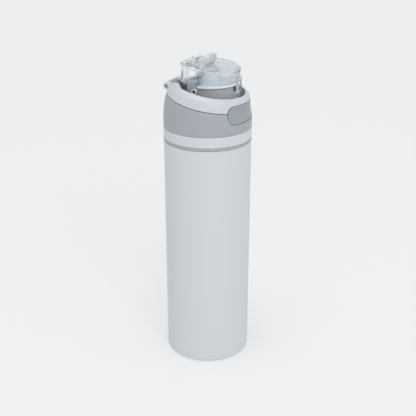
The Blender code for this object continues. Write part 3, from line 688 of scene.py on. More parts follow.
def plate(name: str, width: float, depth: float, corner: float, thickness: float) -> bpy.types.Object:
    """Rounded rectangle in XY, extruded evenly about the origin along Z, in millimetres.

    Args:
        name: Name of the piece.
        width: Size along X.
        depth: Size along Y.
        corner: Radius of its four upright corners.
        thickness: Size along Z.

    Returns:
        The mesh object, centred on the origin.
    """
    quiet()
    bpy.ops.mesh.primitive_plane_add(size=1.0)
    obj = named(bpy.context.object, name)
    obj.scale = (width * MM, depth * MM, 1.0)
    obj.location.z = -thickness / 2 * MM
    settle(obj)
    bpy.ops.object.mode_set(mode="EDIT")
    bpy.ops.mesh.select_all(action="SELECT")
    bpy.ops.mesh.bevel(offset=corner * MM, segments=10, affect="VERTICES")
    bpy.ops.mesh.select_all(action="SELECT")
    bpy.ops.mesh.extrude_region_move(TRANSFORM_OT_translate={"value": (0.0, 0.0, thickness * MM)})
    bpy.ops.object.mode_set(mode="OBJECT")
    tidy_normals(obj)
    return obj


def round_edges(obj: bpy.types.Object, width: float, angle: float = 40.0,
                steps: int = 3) -> bpy.types.Object:
    """Round the sharp edges of a piece.

    Args:
        obj: The mesh object.
        width: Radius in millimetres.
        angle: Angle in degrees from which an edge is rounded.
        steps: Segments of each rounded edge.

    Returns:
        The object.
    """
    pick(obj)
    bevel = obj.modifiers.new("edges", "BEVEL")
    bevel.width = width * MM
    bevel.segments = steps
    bevel.limit_method = "ANGLE"
    bevel.angle_limit = math.radians(angle)
    bevel.use_clamp_overlap = True
    bpy.ops.object.modifier_apply(modifier=bevel.name)
    return obj


def combine(obj: bpy.types.Object, operation: str, *tools: bpy.types.Object) -> bpy.types.Object:
    """Apply exact Booleans with other objects, which are used up.

    Args:
        obj: The piece.
        operation: DIFFERENCE, UNION or INTERSECT.
        tools: The other objects, used in order.

    Returns:
        The piece.
    """
    for tool in tools:
        pick(obj)
        step = obj.modifiers.new("carve", "BOOLEAN")
        step.operation = operation
        step.solver = "EXACT"
        step.object = tool
        bpy.ops.object.modifier_apply(modifier=step.name)
        bpy.data.objects.remove(tool, do_unlink=True)
        bpy.ops.object.mode_set(mode="EDIT")
        bpy.ops.mesh.select_all(action="SELECT")
        bpy.ops.mesh.remove_doubles(threshold=1e-5)
        bpy.ops.mesh.dissolve_degenerate(threshold=1e-5)
        bpy.ops.object.mode_set(mode="OBJECT")
    return obj


def finish_piece(obj: bpy.types.Object, material: bpy.types.Material, body: Body, slot: str,
                 *replaced: str) -> bpy.types.Object:
    """Dress a piece, let it ride on its body and hide the CAD nodes it stands for.

    Args:
        obj: The finished piece.
        material: Its material.
        body: The body that it moves with.
        slot: Name of a material slot; not used.
        replaced: CAD nodes that it replaces.

    Returns:
        The piece.
    """
    obj.data.materials.clear()
    obj.data.materials.append(material)
    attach(obj, body.value)
    if replaced:
        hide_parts(*replaced)
    LOG.info("%s: %d faces", obj.name, len(obj.data.polygons))
    return obj


# ---------------------------------------------------------------- shared outline of the lid


@dataclass(frozen=True)
class Datum:
    """Heights and radii read from the frame, in metres.

    Attributes:
        seam: Height of the seam between bottle and lid.
        body_radius: Radius of the bottle.
    """

    seam: float
    body_radius: float

    @classmethod
    def read(cls) -> "Datum":
        """Work the seam and the radius out from the frame's boxes.

        Returns:
            The datum.
        """
        gap = 0.3 * MM
        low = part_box("bumper_ring")[0]
        shell_low, shell_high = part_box("outer_shell")
        return cls(seam=low[2] - gap, body_radius=(shell_high[0] - shell_low[0]) / 2)


@dataclass(frozen=True)
class LidOutline:
    """The lid's surface of revolution, the seat of the ring and the ring's top, in millimetres."""

    radius: float = 36.15
    shoulder: float = 12.0
    rate: float = 1.56e-4
    foot_lift: float = 33.4
    foot_slope: float = 0.183
    top_lift: float = 44.4
    top_slope: float = 0.1925
    level_y: float = 4.0
    level_rate: float = 0.0078
    rim: float = 28.5
    facet: float = 2.6
    facet_front: float = 1.2

    def at(self, lift: float) -> float:
        """Outer radius at a lift."""
        return self.radius - self.rate * max(0.0, lift - self.shoulder) ** 3

    def foot(self, y: float) -> float:
        """Lift of the ring's seat at a place along Y."""
        return self.foot_lift + self.foot_slope * y

    def top(self, y: float) -> float:
        """Lift of the ring's inner rim, which levels off towards the hinge."""
        return self.top_lift + self.top_slope * y - self.level_rate * max(0.0, y - self.level_y) ** 2

    def fall(self, y: float) -> float:
        """Fall of the ring's top from its inner rim outwards, less above the button."""
        share = min(1.0, max(0.0, y / self.rim + 1.0) * 1.5)
        return self.facet_front + (self.facet - self.facet_front) * share


OUTLINE = LidOutline()


@dataclass(frozen=True)
class Pill:
    """Outline of the push button, wrapped round the lid, in millimetres."""

    lift: float = 26.8
    height: float = 14.3
    wrap_radius: float = 36.0
    half_arc: float = 24.19

    def prism(self, name: str, margin: float, base: float) -> bpy.types.Object:
        """Cutter through the front of the lid, larger than the button by a margin.

        Args:
            name: Name of the cutter.
            margin: Width of the gap round the button in millimetres.
            base: Height of lift 0 in metres.

        Returns:
            The cutter.
        """
        width = 2 * (self.half_arc + margin)
        height = self.height + 2 * margin
        obj = plate(name, width, height, height / 2 - 0.01, 30.0)
        obj.rotation_euler = (math.radians(90), 0.0, 0.0)
        obj.location = (0.0, -31.0 * MM, base + self.lift * MM)
        settle(obj)
        wrap = self.wrap_radius * MM
        return warp(obj, lambda p: (wrap * math.sin(p.x / wrap), p.y, p.z))


PILL = Pill()


# ---------------------------------------------------------------- the bottle


@dataclass
class Bottle:
    """Coated body with its shoulder, neck and foot, and the pieces under it."""

    datum: Datum
    palette: Palette
    wall: float = 0.8
    foot_round: float = 2.6
    shoulder_round: float = 1.2
    neck_radius: float = 27.3
    neck_lift: float = 15.5
    lip: float = 0.35
    neck_fillet: float = 0.8
    wall_rows: int = 12
    foot_rise: float = 0.4
    foot_bore: float = 32.6
    thread_tip: float = 28.4
    thread_start: float = 6.0
    thread_turns: float = 1.25
    thread_lead: float = 6.0
    thread_half: Point = (1.2, 0.5)
    thread_steps: int = 72
    pad_grooves: Point = (26.6, 14.0)
    groove_depth: float = 0.35

    def build(self) -> None:
        """Model and dress the bottle."""
        self.shell()
        self.thread()
        self.base()
        self.inside()

    def shell(self) -> None:
        """Outer wall from the foot to the mouth."""
        radius = self.datum.body_radius / MM
        foot = -self.datum.seam / MM
        inner = radius - self.wall
        bore = self.neck_radius - self.wall
        lip, fillet, shoulder, rise = self.lip, self.neck_fillet, self.shoulder_round, self.foot_rise
        profile = [
            *arc((self.neck_radius - lip, self.neck_lift - lip), lip, 90, 0, 3),
            *[(self.neck_radius, self.neck_lift - 3.0 * i) for i in range(1, 5)],
            *arc((self.neck_radius + fillet, fillet), fillet, 180, 270, 4),
            (30.0, 0.0), (32.5, 0.0),
            *arc((radius - shoulder, -shoulder), shoulder, 90, 0, 8),
            *[(radius, -shoulder - 8.0 - (-foot - 20.0) * i / self.wall_rows)
              for i in range(self.wall_rows + 1)],
            *arc((radius - self.foot_round, foot + rise + self.foot_round), self.foot_round, 0, -90, 8),
            (self.foot_bore, foot + rise), (self.foot_bore, foot + 1.2), (self.foot_bore + 0.8, foot + 1.2),
            (inner, foot + 3.4), (inner, -2 * self.wall), (inner - self.wall, -self.wall),
            (bore, -self.wall),
            (bore, self.neck_lift - 0.3),
        ]
        obj = soften(lathe("bottle_shell", profile, self.datum.seam, FINE, closed=True), 30.0)
        finish_piece(obj, self.palette.coat, Body.BOTTLE, "white_coat", "outer_shell")

    def thread(self) -> None:
        """Helical ridge on the neck, with its ends run out."""
        quiet()
        bpy.ops.mesh.primitive_plane_add(size=1.0)
        obj = named(bpy.context.object, "neck_thread")
        root, tip = self.neck_radius - 0.4, self.thread_tip
        wide, narrow = self.thread_half
        corners = [(root, -wide), (tip, -narrow), (root, wide), (tip, narrow)]
        for vertex, (radius, rise) in zip(obj.data.vertices, corners):
            vertex.co = (radius * MM, 0.0, self.datum.seam + (self.thread_start + rise) * MM)
        pick(obj)
        turn = obj.modifiers.new("turn", "SCREW")
        turn.angle = 2 * math.pi * self.thread_turns
        turn.screw_offset = self.thread_lead * self.thread_turns * MM
        turn.steps = turn.render_steps = int(self.thread_steps * self.thread_turns)
        bpy.ops.object.modifier_apply(modifier=turn.name)
        tidy_normals(obj)
        finish_piece(soften(obj), self.palette.steel, Body.BOTTLE, "steel")

    def base(self) -> None:
        """Base cap with a pressed step and the silicone pad with a moulded groove."""
        foot = -self.datum.seam / MM
        cap = lathe("base_plate", [
            (0.0, foot + 2.9), (27.0, foot + 2.9), *arc((28.0, foot + 3.1), 0.8, 250, 290, 3),
            (31.6, foot + 2.3), (32.2, foot + 2.1), (32.2, foot + 1.6), (31.9, foot + 1.5),
            (0.0, foot + 1.5)], self.datum.seam, MEDIUM)
        finish_piece(soften(cap), self.palette.steel, Body.BOTTLE, "steel", "outer_base_cap")
        grooves = [point for start in self.pad_grooves
                   for point in ((start, foot), (start - 0.3, foot + self.groove_depth),
                                 (start - 1.1, foot + self.groove_depth), (start - 1.4, foot))]
        pad = lathe("foot_pad", [
            (0.0, foot + 1.2), (29.2, foot + 1.2), (29.5, foot + 0.9), (29.5, foot + 0.5),
            *arc((29.0, foot + 0.5), 0.5, 0, -90, 4), *grooves, (0.0, foot)], self.datum.seam, MEDIUM)
        finish_piece(soften(pad), self.palette.rubber, Body.BOTTLE, "grey_rubber", "base_pad")

    def inside(self) -> None:
        """Finishes of the CAD pieces that stay inside the bottle."""
        dress_node("inner_liner", self.palette.steel)
        dress_node("vacuum_getter", self.palette.dark)


def dress_node(node: str, material: bpy.types.Material) -> None:
    """Give a CAD node that stays its finish.

    Args:
        node: Name of the CAD node.
        material: Its material.
    """
    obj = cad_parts[node]
    obj.data.materials.clear()
    obj.data.materials.append(material)


# ---------------------------------------------------------------- the lid


@dataclass
class LidSkirt:
    """Bumper ring, white band and grey lid body with its deck, dome, towers and middle knuckle."""

    datum: Datum
    palette: Palette
    skirt_lift: float = 11.6
    seat_radius: float = 30.1
    deck_lift: float = 34.0
    dome_y: float = -6.2
    dome_foot: float = 20.0
    dome_top: float = 18.6
    dome_lift: float = 45.9
    dome_back: float = 10.4
    tip_slope: float = -0.06
    tower: tuple[Triple, Triple] = ((11.2, 0.4, 32.0), (17.4, 10.2, 51.0))
    hinge_y: float = 31.0
    hinge_lift: float = 43.0
    knuckle_end: float = 6.0
    knuckle_radius: float = 3.0
    pin_bore: float = 1.5
    wall_rows: int = 18
    pocket_radius: float = 30.9
    pocket_gap: float = 0.25
    well_half: float = 4.6
    well_front: float = -28.8
    well_back: float = -20.2
    well_foot: float = 21.0
    channel: tuple[Triple, Triple] = ((-4.2, -34.0, 21.2), (4.2, -24.0, 26.8))

    def build(self) -> None:
        """Model and dress the lid's fixed outside."""
        self.rings()
        self.shell()
        self.dome()
        self.towers()
        self.knuckle()
        for node in ("neck_seal", "mouthpiece_gasket", "vent_valve"):
            dress_node(node, self.palette.silicone)
        dress_node("thread_core", self.palette.lid)

    def rings(self) -> None:
        """The thin grey ring and the white band."""
        bumper = lathe("bumper_ring_skin", [
            (33.0, 2.2), (35.7, 2.2), *arc((35.6, 1.25), 0.7, 60, -60, 8), (35.7, 0.3), (33.0, 0.3)],
            self.datum.seam, FINE, closed=True)
        finish_piece(soften(bumper), self.palette.bumper, Body.LIFT_RING, "grey_rubber", "bumper_ring")
        edge = OUTLINE.radius - 0.3
        band = lathe("white_band", [
            (34.9, 11.3), (edge, 11.3), *arc((edge, 11.0), 0.3, 90, 0, 4),
            *[(OUTLINE.radius, 10.0 - 1.5 * i) for i in range(5)],
            *arc((edge, 2.8), 0.3, 0, -90, 4), (34.9, 2.5)],
            self.datum.seam, FINE, closed=True)
        finish_piece(soften(band), self.palette.band, Body.LID, "white_coat", "trim_band")

    def shell(self) -> None:
        """Grey wall, seat of the ring and deck, with the button's pocket and the latch well."""
        seat_mark = 60.0
        rows = [(OUTLINE.at(30.0), seat_mark + i) for i in range(self.wall_rows, -1, -1)]
        profile = [
            (0.0, self.deck_lift), (24.0, self.deck_lift), (29.7, self.deck_lift),
            (self.seat_radius, self.deck_lift - 0.4), (self.seat_radius, seat_mark + self.wall_rows + 2),
            (self.seat_radius + 1.0, seat_mark + self.wall_rows + 1), *rows,
            (34.9, self.skirt_lift), (34.6, self.skirt_lift - 0.3), (34.6, 2.9), (34.3, 2.6), (31.8, 2.6),
            (31.5, 2.9), (31.5, 20.1), (28.0, 20.1), (28.0, 31.0), (0.0, 31.0)]
        obj = lathe("lid_body", profile, self.datum.seam, FINE)
        base = self.datum.seam

        def seated(point: Vector) -> Triple:
            """Lay the marked rows on the lid's wall, up to the slanted seat of the ring.

            Args:
                point: A point of the turned solid.

            Returns:
                Its place on the lid.
            """
            lift = (point.z - base) / MM
            if lift < seat_mark - 0.5:
                return tuple(point)
            around = math.atan2(point.y, point.x)
            top = OUTLINE.foot(33.5 * math.sin(around))
            row = lift - seat_mark
            if row > self.wall_rows + 0.5:
                radius = math.hypot(point.x, point.y)
                return (point.x, point.y, base + OUTLINE.foot(radius / MM * math.sin(around)) * MM)
            share = row / self.wall_rows
            lift = self.skirt_lift + (top - 0.25 - self.skirt_lift) * share
            radius = OUTLINE.at(lift) * MM
            if row > self.wall_rows - 0.5:
                lift, radius = top, radius - 0.3 * MM
            return (radius * math.cos(around), radius * math.sin(around), base + lift * MM)

        warp(obj, seated)
        near, away = self.pocket_radius, FAR + 6.0
        pocket = lathe("pocket_space", [(near, TALL), (away, TALL), (away, 10.0), (near, 10.0)], base,
                       FINE, closed=True)
        combine(pocket, "INTERSECT", PILL.prism("pocket_pill", self.pocket_gap, base))
        well = block("well_space", (-self.well_half, self.well_front, self.well_foot),
                     (self.well_half, self.well_back, TALL), base)
        channel = block("channel_space", *self.channel, base)
        combine(obj, "DIFFERENCE", pocket, well, channel)
        finish_piece(soften(obj, 28.0), self.palette.lid, Body.LID, "grey_plastic", "lid_shell")

    def dome(self) -> None:
        """Platform under the mouthpiece, filleted into the deck and rounded at its top."""
        slope = (self.dome_foot - self.dome_top) / (self.dome_lift - self.deck_lift)
        profile = [
            (0.0, self.dome_lift), (self.dome_top - 1.2, self.dome_lift),
            *arc((self.dome_top - 1.2, self.dome_lift - 1.2), 1.2, 80, 5, 6),
            *[(self.dome_top + slope * 3.0 * i, self.dome_lift - 3.0 * i) for i in range(1, 4)],
            *arc((self.dome_foot + 1.6, self.deck_lift + 1.6), 1.6, 185, 265, 6),
            (self.dome_foot + 2.2, self.deck_lift - 1.0), (0.0, self.deck_lift - 1.0)]
        base = self.datum.seam
        obj = lathe("lid_dome", profile, base, MEDIUM, (0.0, self.dome_y))
        middle = base + (self.deck_lift + 5.0) * MM
        warp(obj, lambda p: (p.x, p.y, p.z + (self.tip_slope * (p.y - self.dome_y * MM)
                                              * min(1.0, max(0.0, (p.z - middle) / (7.0 * MM))))))
        back = block("dome_back_space", (-FAR, self.dome_back, self.well_foot), (FAR, FAR, TALL), base)
        well = block("dome_well_space", (-self.well_half, -FAR, self.well_foot),
                     (self.well_half, self.well_back, TALL), base)
        combine(obj, "DIFFERENCE", back, well)
        finish_piece(soften(obj), self.palette.lid, Body.LID, "grey_plastic")

    def towers(self) -> None:
        """Two rounded towers that carry the bracket's rivets."""
        (x0, y0, z0), (x1, y1, z1) = self.tower
        for tag, side in (("left", -1), ("right", 1)):
            low, high = sorted((side * x0, side * x1))
            obj = block("lid_tower_" + tag, (low, y0, z0), (high, y1, z1), self.datum.seam, 0.9)
            finish_piece(soften(obj), self.palette.lid, Body.LID, "grey_plastic")

    def knuckle(self) -> None:
        """Middle knuckle of the ring's hinge with its web."""
        end, y, lift, base = self.knuckle_end, self.hinge_y, self.hinge_lift, self.datum.seam
        barrel = bar("lid_knuckle", (-end, y, lift), (end, y, lift), self.knuckle_radius, base, 0.3)
        web = block("knuckle_web", (-end + 0.4, 30.9, 35.0), (end - 0.4, 32.7, lift), base)
        bore = bar("knuckle_bore", (-end - 2, y, lift), (end + 2, y, lift), self.pin_bore, base)
        combine(barrel, "UNION", web)
        combine(barrel, "DIFFERENCE", bore)
        finish_piece(soften(barrel), self.palette.lid, Body.LID, "grey_plastic")


@dataclass
class Spout:
    """White saucer and mouthpiece, the clear bracket behind them and its fittings."""

    datum: Datum
    palette: Palette
    saucer_y: float = -6.2
    saucer_radius: float = 20.4
    saucer_lift: float = 46.2
    saucer_height: float = 2.2
    tip_slope: float = -0.06
    mouth_y: float = -3.2
    width: float = 15.0
    depth: float = 14.0
    corner: float = 5.0
    top_lift: float = 57.4
    bore: float = 4.6
    tube_radius: float = 8.0
    tube_foot: float = 17.6
    post: tuple[float, float] = (12.0, 16.0)
    post_y: float = 13.3
    post_depth: float = 4.6
    post_lift: float = 62.7
    bracket_foot: float = 34.3
    bush_at: Point = (3.0, 42.8)
    tower_face: float = 17.4
    bore_gap: float = 0.4
    latch_gap: tuple[float, float] = (4.8, -25.9)
    head_radius: float = 2.9
    pin_bore: float = 1.3
    pin_radius: float = 1.0
    pin_reach: Point = (5.6, 15.0)
    spring_at: Triple = (0.0, -19.5, 24.0)
    spring_length: float = 7.2

    def build(self) -> None:
        """Model and dress the spout and the bracket."""
        self.saucer()
        self.mouthpiece()
        self.bracket()
        self.bushes()
        self.pins_and_spring()

    def saucer(self) -> None:
        """Saucer with a raised rounded lip."""
        foot, top, edge = self.saucer_lift, self.saucer_lift + self.saucer_height, self.saucer_radius
        base = self.datum.seam
        profile = [
            (0.0, top - 1.5), (edge - 3.4, top - 1.5), (edge - 2.2, top - 0.9), (edge - 1.7, top - 0.3),
            *arc((edge - 0.9, top - 0.9), 0.9, 110, 0, 8), *arc((edge - 0.6, foot + 0.6), 0.6, 0, -90, 5),
            (0.0, foot)]
        obj = lathe("spout_saucer", profile, base, MEDIUM, (0.0, self.saucer_y))
        warp(obj, lambda p: (p.x, p.y, p.z + self.tip_slope * (p.y - self.saucer_y * MM)))
        latch_half, latch_y = self.latch_gap
        tools = [block("saucer_back_space", (-FAR, 10.2, 40), (FAR, FAR, TALL), base),
                 block("saucer_left_space", (-FAR, 0.0, 40), (-10.8, FAR, TALL), base),
                 block("saucer_right_space", (10.8, 0.0, 40), (FAR, FAR, TALL), base),
                 block("saucer_latch_space", (-latch_half, -FAR, 40), (latch_half, latch_y, TALL), base),
                 bar("saucer_bore_space", (0, self.mouth_y, 40), (0, self.mouth_y, TALL),
                     self.bore + self.bore_gap, base)]
        combine(obj, "DIFFERENCE", *tools)
        finish_piece(soften(obj), self.palette.white, Body.LID, "white_plastic", "mouthpiece")

    def mouthpiece(self) -> None:
        """Rounded spout block with a rolled rim, its bore, and the tube below it."""
        base = self.datum.seam
        foot = self.saucer_lift + 1.0
        height = self.top_lift - foot
        obj = plate("spout_block", self.width, self.depth, self.corner, height)
        obj.location = (0.0, self.mouth_y * MM, base + (foot + height / 2) * MM)
        settle(obj)
        y = self.mouth_y
        tube = bar("spout_tube_shape", (0, y, self.tube_foot), (0, y, foot + 1.0), self.tube_radius, base)
        hole = bar("spout_hole_space", (0, y, 10), (0, y, 70), self.bore, base)
        combine(obj, "UNION", tube)
        combine(obj, "DIFFERENCE", hole)
        round_edges(obj, 1.0, 60.0, 5)
        finish_piece(soften(obj, 40.0), self.palette.white, Body.LID, "white_plastic")

    def bracket(self) -> None:
        """Two clear posts with round heads on a cross bar."""
        base, y, half = self.datum.seam, self.post_y, self.post_depth / 2
        inner, outer = self.post
        foot, top = self.bracket_foot, self.post_lift
        obj = block("clear_bracket", (-outer, y - half, foot), (outer, y + half, foot + 4.5), base)
        for side in (-1, 1):
            a, b = sorted((side * inner, side * outer))
            post = block("post_shape", (a, y - half, foot + 2), (b, y + half, top), base)
            head = bar("head_shape", (a - 0.01, y, top), (b + 0.01, y, top), self.head_radius, base)
            slot = block("post_slot_space", (a - 2, y - 1.4, 46.6), (b + 2, y + 1.2, 48.4), base)
            combine(obj, "UNION", post, head)
            combine(obj, "DIFFERENCE", slot)
        bore = bar("bracket_bore_space", (-20, y, top), (20, y, top), self.pin_bore, base)
        combine(obj, "DIFFERENCE", bore)
        round_edges(obj, 0.35, 50.0, 2)
        finish_piece(soften(obj), self.palette.clear, Body.LID, "clear_plastic", "hinge_bracket")

    def bushes(self) -> None:
        """White bushes with rounded rims, and the dark rivets in them."""
        base, (y, lift) = self.datum.seam, self.bush_at
        for tag, side in (("left", -1), ("right", 1)):
            near, far = side * (self.tower_face + 0.3), side * (self.tower_face + 2.5)
            bush = bar("bush_" + tag, (near, y, lift), (far, y, lift), 2.3, base)
            hole = bar("bush_hole_space", (near - side, y, lift), (far + side, y, lift), 1.4, base)
            combine(bush, "DIFFERENCE", hole)
            round_edges(bush, 0.35, 50.0, 3)
            finish_piece(soften(bush), self.palette.white, Body.LID, "white_plastic", "pivot_bush_" + tag)
            rivet = bar("rivet_" + tag, (side * 11.8, y, lift), (far - side * 0.6, y, lift), 0.8, base,
                        0.15, SMALL // 2)
            finish_piece(soften(rivet), self.palette.dark, Body.LID, "dark_steel", "pivot_rivet_" + tag)

    def pins_and_spring(self) -> None:
        """Two short cap pins sunk in the posts, and the button's spring."""
        y, lift, base = self.post_y, self.post_lift, self.datum.seam
        start, end = self.pin_reach
        for tag, side in (("left", -1), ("right", 1)):
            pin = bar("cap_pin_" + tag, (side * start, y, lift), (side * end, y, lift), self.pin_radius,
                      base, 0.2, 32)
            finish_piece(soften(pin), self.palette.polished, Body.LID, "steel", "cap_hinge_pin_" + tag)
        spring = coil("button_coil", 2.1, self.spring_length, 6.0, 0.35, self.spring_at, base)
        spring.data.materials.append(self.palette.steel)
        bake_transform(spring)
        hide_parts("button_spring")


def coil(name: str, radius: float, length: float, turns: float, wire: float, centre: Triple,
         base: float) -> bpy.types.Object:
    """Round-wire coil along Y, in millimetres.

    Args:
        name: Name of the piece.
        radius: Radius to the middle of the wire.
        length: Length between the middles of the end turns.
        turns: Number of turns.
        wire: Radius of the wire.
        centre: Middle of the coil.
        base: Height of lift 0 in metres.

    Returns:
        The mesh object, at the origin.
    """
    quiet()
    bpy.ops.mesh.primitive_circle_add(vertices=10, radius=wire * MM, location=(radius * MM, 0.0, 0.0),
                                      rotation=(math.radians(90), 0.0, 0.0))
    obj = settle(named(bpy.context.object, name))
    turn = obj.modifiers.new("wind", "SCREW")
    turn.angle = 2 * math.pi * turns
    turn.screw_offset = length * MM
    turn.steps = turn.render_steps = int(28 * turns)
    bpy.ops.object.modifier_apply(modifier=turn.name)
    bpy.ops.object.mode_set(mode="EDIT")
    bpy.ops.mesh.select_mode(type="EDGE")
    bpy.ops.mesh.select_all(action="DESELECT")
    bpy.ops.mesh.select_non_manifold()
    bpy.ops.mesh.edge_face_add()
    bpy.ops.object.mode_set(mode="OBJECT")
    tidy_normals(obj)
    warp(obj, lambda p: (p.x, p.y, p.z - length / 2 * MM))
    obj.rotation_euler = (math.radians(90), 0.0, 0.0)
    obj.location = (centre[0] * MM, centre[1] * MM, base + centre[2] * MM)
    return soften(settle(obj), 60.0)


@dataclass
class FlipCap:
    """Clear cap with its knuckles and latch tongue, and the silicone plug through it."""

    datum: Datum
    palette: Palette
    radius: float = 22.2
    foot_radius: float = 20.7
    wall: float = 1.5
    top_lift: float = 62.4
    foot_lift: float = 48.9
    top_y: float = -4.4
    foot_y: float = -6.4
    top_slope: float = 0.136
    foot_slope: float = -0.06
    back_y: float = 1.0
    axis_y: float = 13.3
    axis_lift: float = 62.7
    barrel_radius: float = 2.7
    barrel_end: float = 11.6
    window_half: float = 4.8
    cut_reach: float = 30.0
    pin_bore: float = 1.3
    crown: float = 0.6
    crown_rows: tuple[float, ...] = (4.0, 8.0, 12.0, 16.0, 18.0)
    tongue: tuple[Triple, Triple] = ((-3.8, -28.2, 37.4), (3.8, -26.4, 54.0))
    catch: tuple[Triple, Triple] = ((-2.4, -32.0, 39.2), (2.4, -20.0, 42.2))
    rib: tuple[Triple, Triple] = ((3.0, -25.0, 60.3), (3.8, -11.5, 62.0))
    rib_turn: float = 0.2
    tab_y: float = -2.2
    tab: Triple = (16.0, 4.4, 3.2)
    tab_foot: float = 63.2
    mouth_y: float = -3.2

    def build(self) -> None:
        """Model and dress the cap and its plug."""
        self.shell()
        self.plug()

    def shell(self) -> None:
        """Domed top, tapered skirt open at the back, two knuckles and the tongue."""
        base, radius, wall = self.datum.seam, self.radius, self.wall
        top = self.top_lift
        deep = top - self.foot_lift
        slant = (radius - self.foot_radius) / deep
        profile = [
            (0.0, top + 0.5), *[(r, top + 0.5 - self.crown * (r / 19.0) ** 3) for r in self.crown_rows],
            *arc((radius - 2.2, top - 2.4), 2.2, 82, 4, 9),
            *[(radius - slant * h, top - h) for h in (4.0, 6.5, 9.0, 11.5)],
            *arc((self.foot_radius - wall / 2, self.foot_lift + wall / 2), wall / 2, 0, -180, 8),
            *[(radius - wall - slant * h, top - h) for h in (11.0, 8.0, 5.0, 3.6)],
            *arc((radius - wall - 1.4, top - 2.8), 1.4, 10, 85, 6), (14.0, top - 1.1), (7.0, top - 1.0),
            (0.0, top - 1.0)]
        cap = lathe("clear_cap", profile, base, FINE)

        def leaned(point: Vector) -> Triple:
            """Tip the top back, tip the foot forward and shift both to their centres.

            Args:
                point: A point of the turned cap.

            Returns:
                Its place on the leaning cap.
            """
            share = min(1.0, max(0.0, (top - (point.z - base) / MM) / deep))
            slope = self.top_slope * (1.0 - share) + self.foot_slope * share
            shift = self.top_y * (1.0 - share) + self.foot_y * share
            return (point.x, point.y + shift * MM, point.z + slope * point.y)

        warp(cap, leaned)
        y, lift = self.axis_y, self.axis_lift
        end, out = self.barrel_end, self.cut_reach
        back = block("cap_back_space", (-out, self.back_y, 30), (out, FAR, top - 2.2), base)
        sides = [block("cap_side_space", (low, 9.3, 40), (high, FAR, 80), base)
                 for low, high in ((-out, -end), (end, out))]
        combine(cap, "DIFFERENCE", back, *sides)
        rib = block("cap_rib_shape", *self.rib, base)
        warp(rib, lambda p: (p.x - (p.y + 12 * MM) * self.rib_turn, p.y, p.z + self.top_slope * p.y))
        barrel = bar("cap_barrel_shape", (-end, y, lift), (end, y, lift), self.barrel_radius, base)
        tongue = block("tongue_shape", *self.tongue, base, 0.4, 2)
        combine(cap, "UNION", barrel, tongue, rib)
        window = block("cap_window_space", (-self.window_half, 9.4, 50), (self.window_half, FAR, 80), base)
        bore = bar("cap_bore_space", (-14, y, lift), (14, y, lift), self.pin_bore, base)
        catch = block("catch_space", *self.catch, base)
        slot = plate("slot_space", 9.6, 4.2, 1.6, 12.0)
        slot.location = (0.0, self.tab_y * MM, base + top * MM)
        combine(cap, "DIFFERENCE", window, bore, catch, settle(slot))
        finish_piece(soften(cap, 32.0), self.palette.clear, Body.CAP, "clear_plastic", "flip_cap")

    def plug(self) -> None:
        """Silicone plug: rounded pull tab, neck through the slot and disc over the spout."""
        base = self.datum.seam
        disc = lathe("silicone_plug", [
            (0.0, 59.3), (6.2, 59.3), *arc((6.5, 58.9), 0.4, 90, 0, 4), (6.9, 58.0), (6.6, 57.7),
            (3.0, 57.7), (2.8, 57.0), (2.5, 55.9), (2.2, 55.6), (0.0, 55.6)],
            base, SMALL, (0.0, self.mouth_y))
        neck = plate("plug_neck_shape", 9.0, 3.6, 1.4, 7.0)
        neck.location = (0.0, self.tab_y * MM, base + 61.8 * MM)
        width, depth, corner = self.tab
        tab = plate("plug_tab_shape", width, 11.8, corner, depth)
        tab.rotation_euler = (math.radians(90), 0.0, 0.0)
        tab.location = (0.0, self.tab_y * MM, base + 64.1 * MM)
        settle(tab)
        combine(tab, "DIFFERENCE", block("tab_foot_space", (-9, -8, 50), (9, 5, self.tab_foot), base))
        round_edges(tab, 0.8, 60.0, 5)
        combine(disc, "UNION", settle(neck), tab)
        finish_piece(soften(disc, 40.0), self.palette.silicone, Body.CAP, "silicone", "seal_plug")


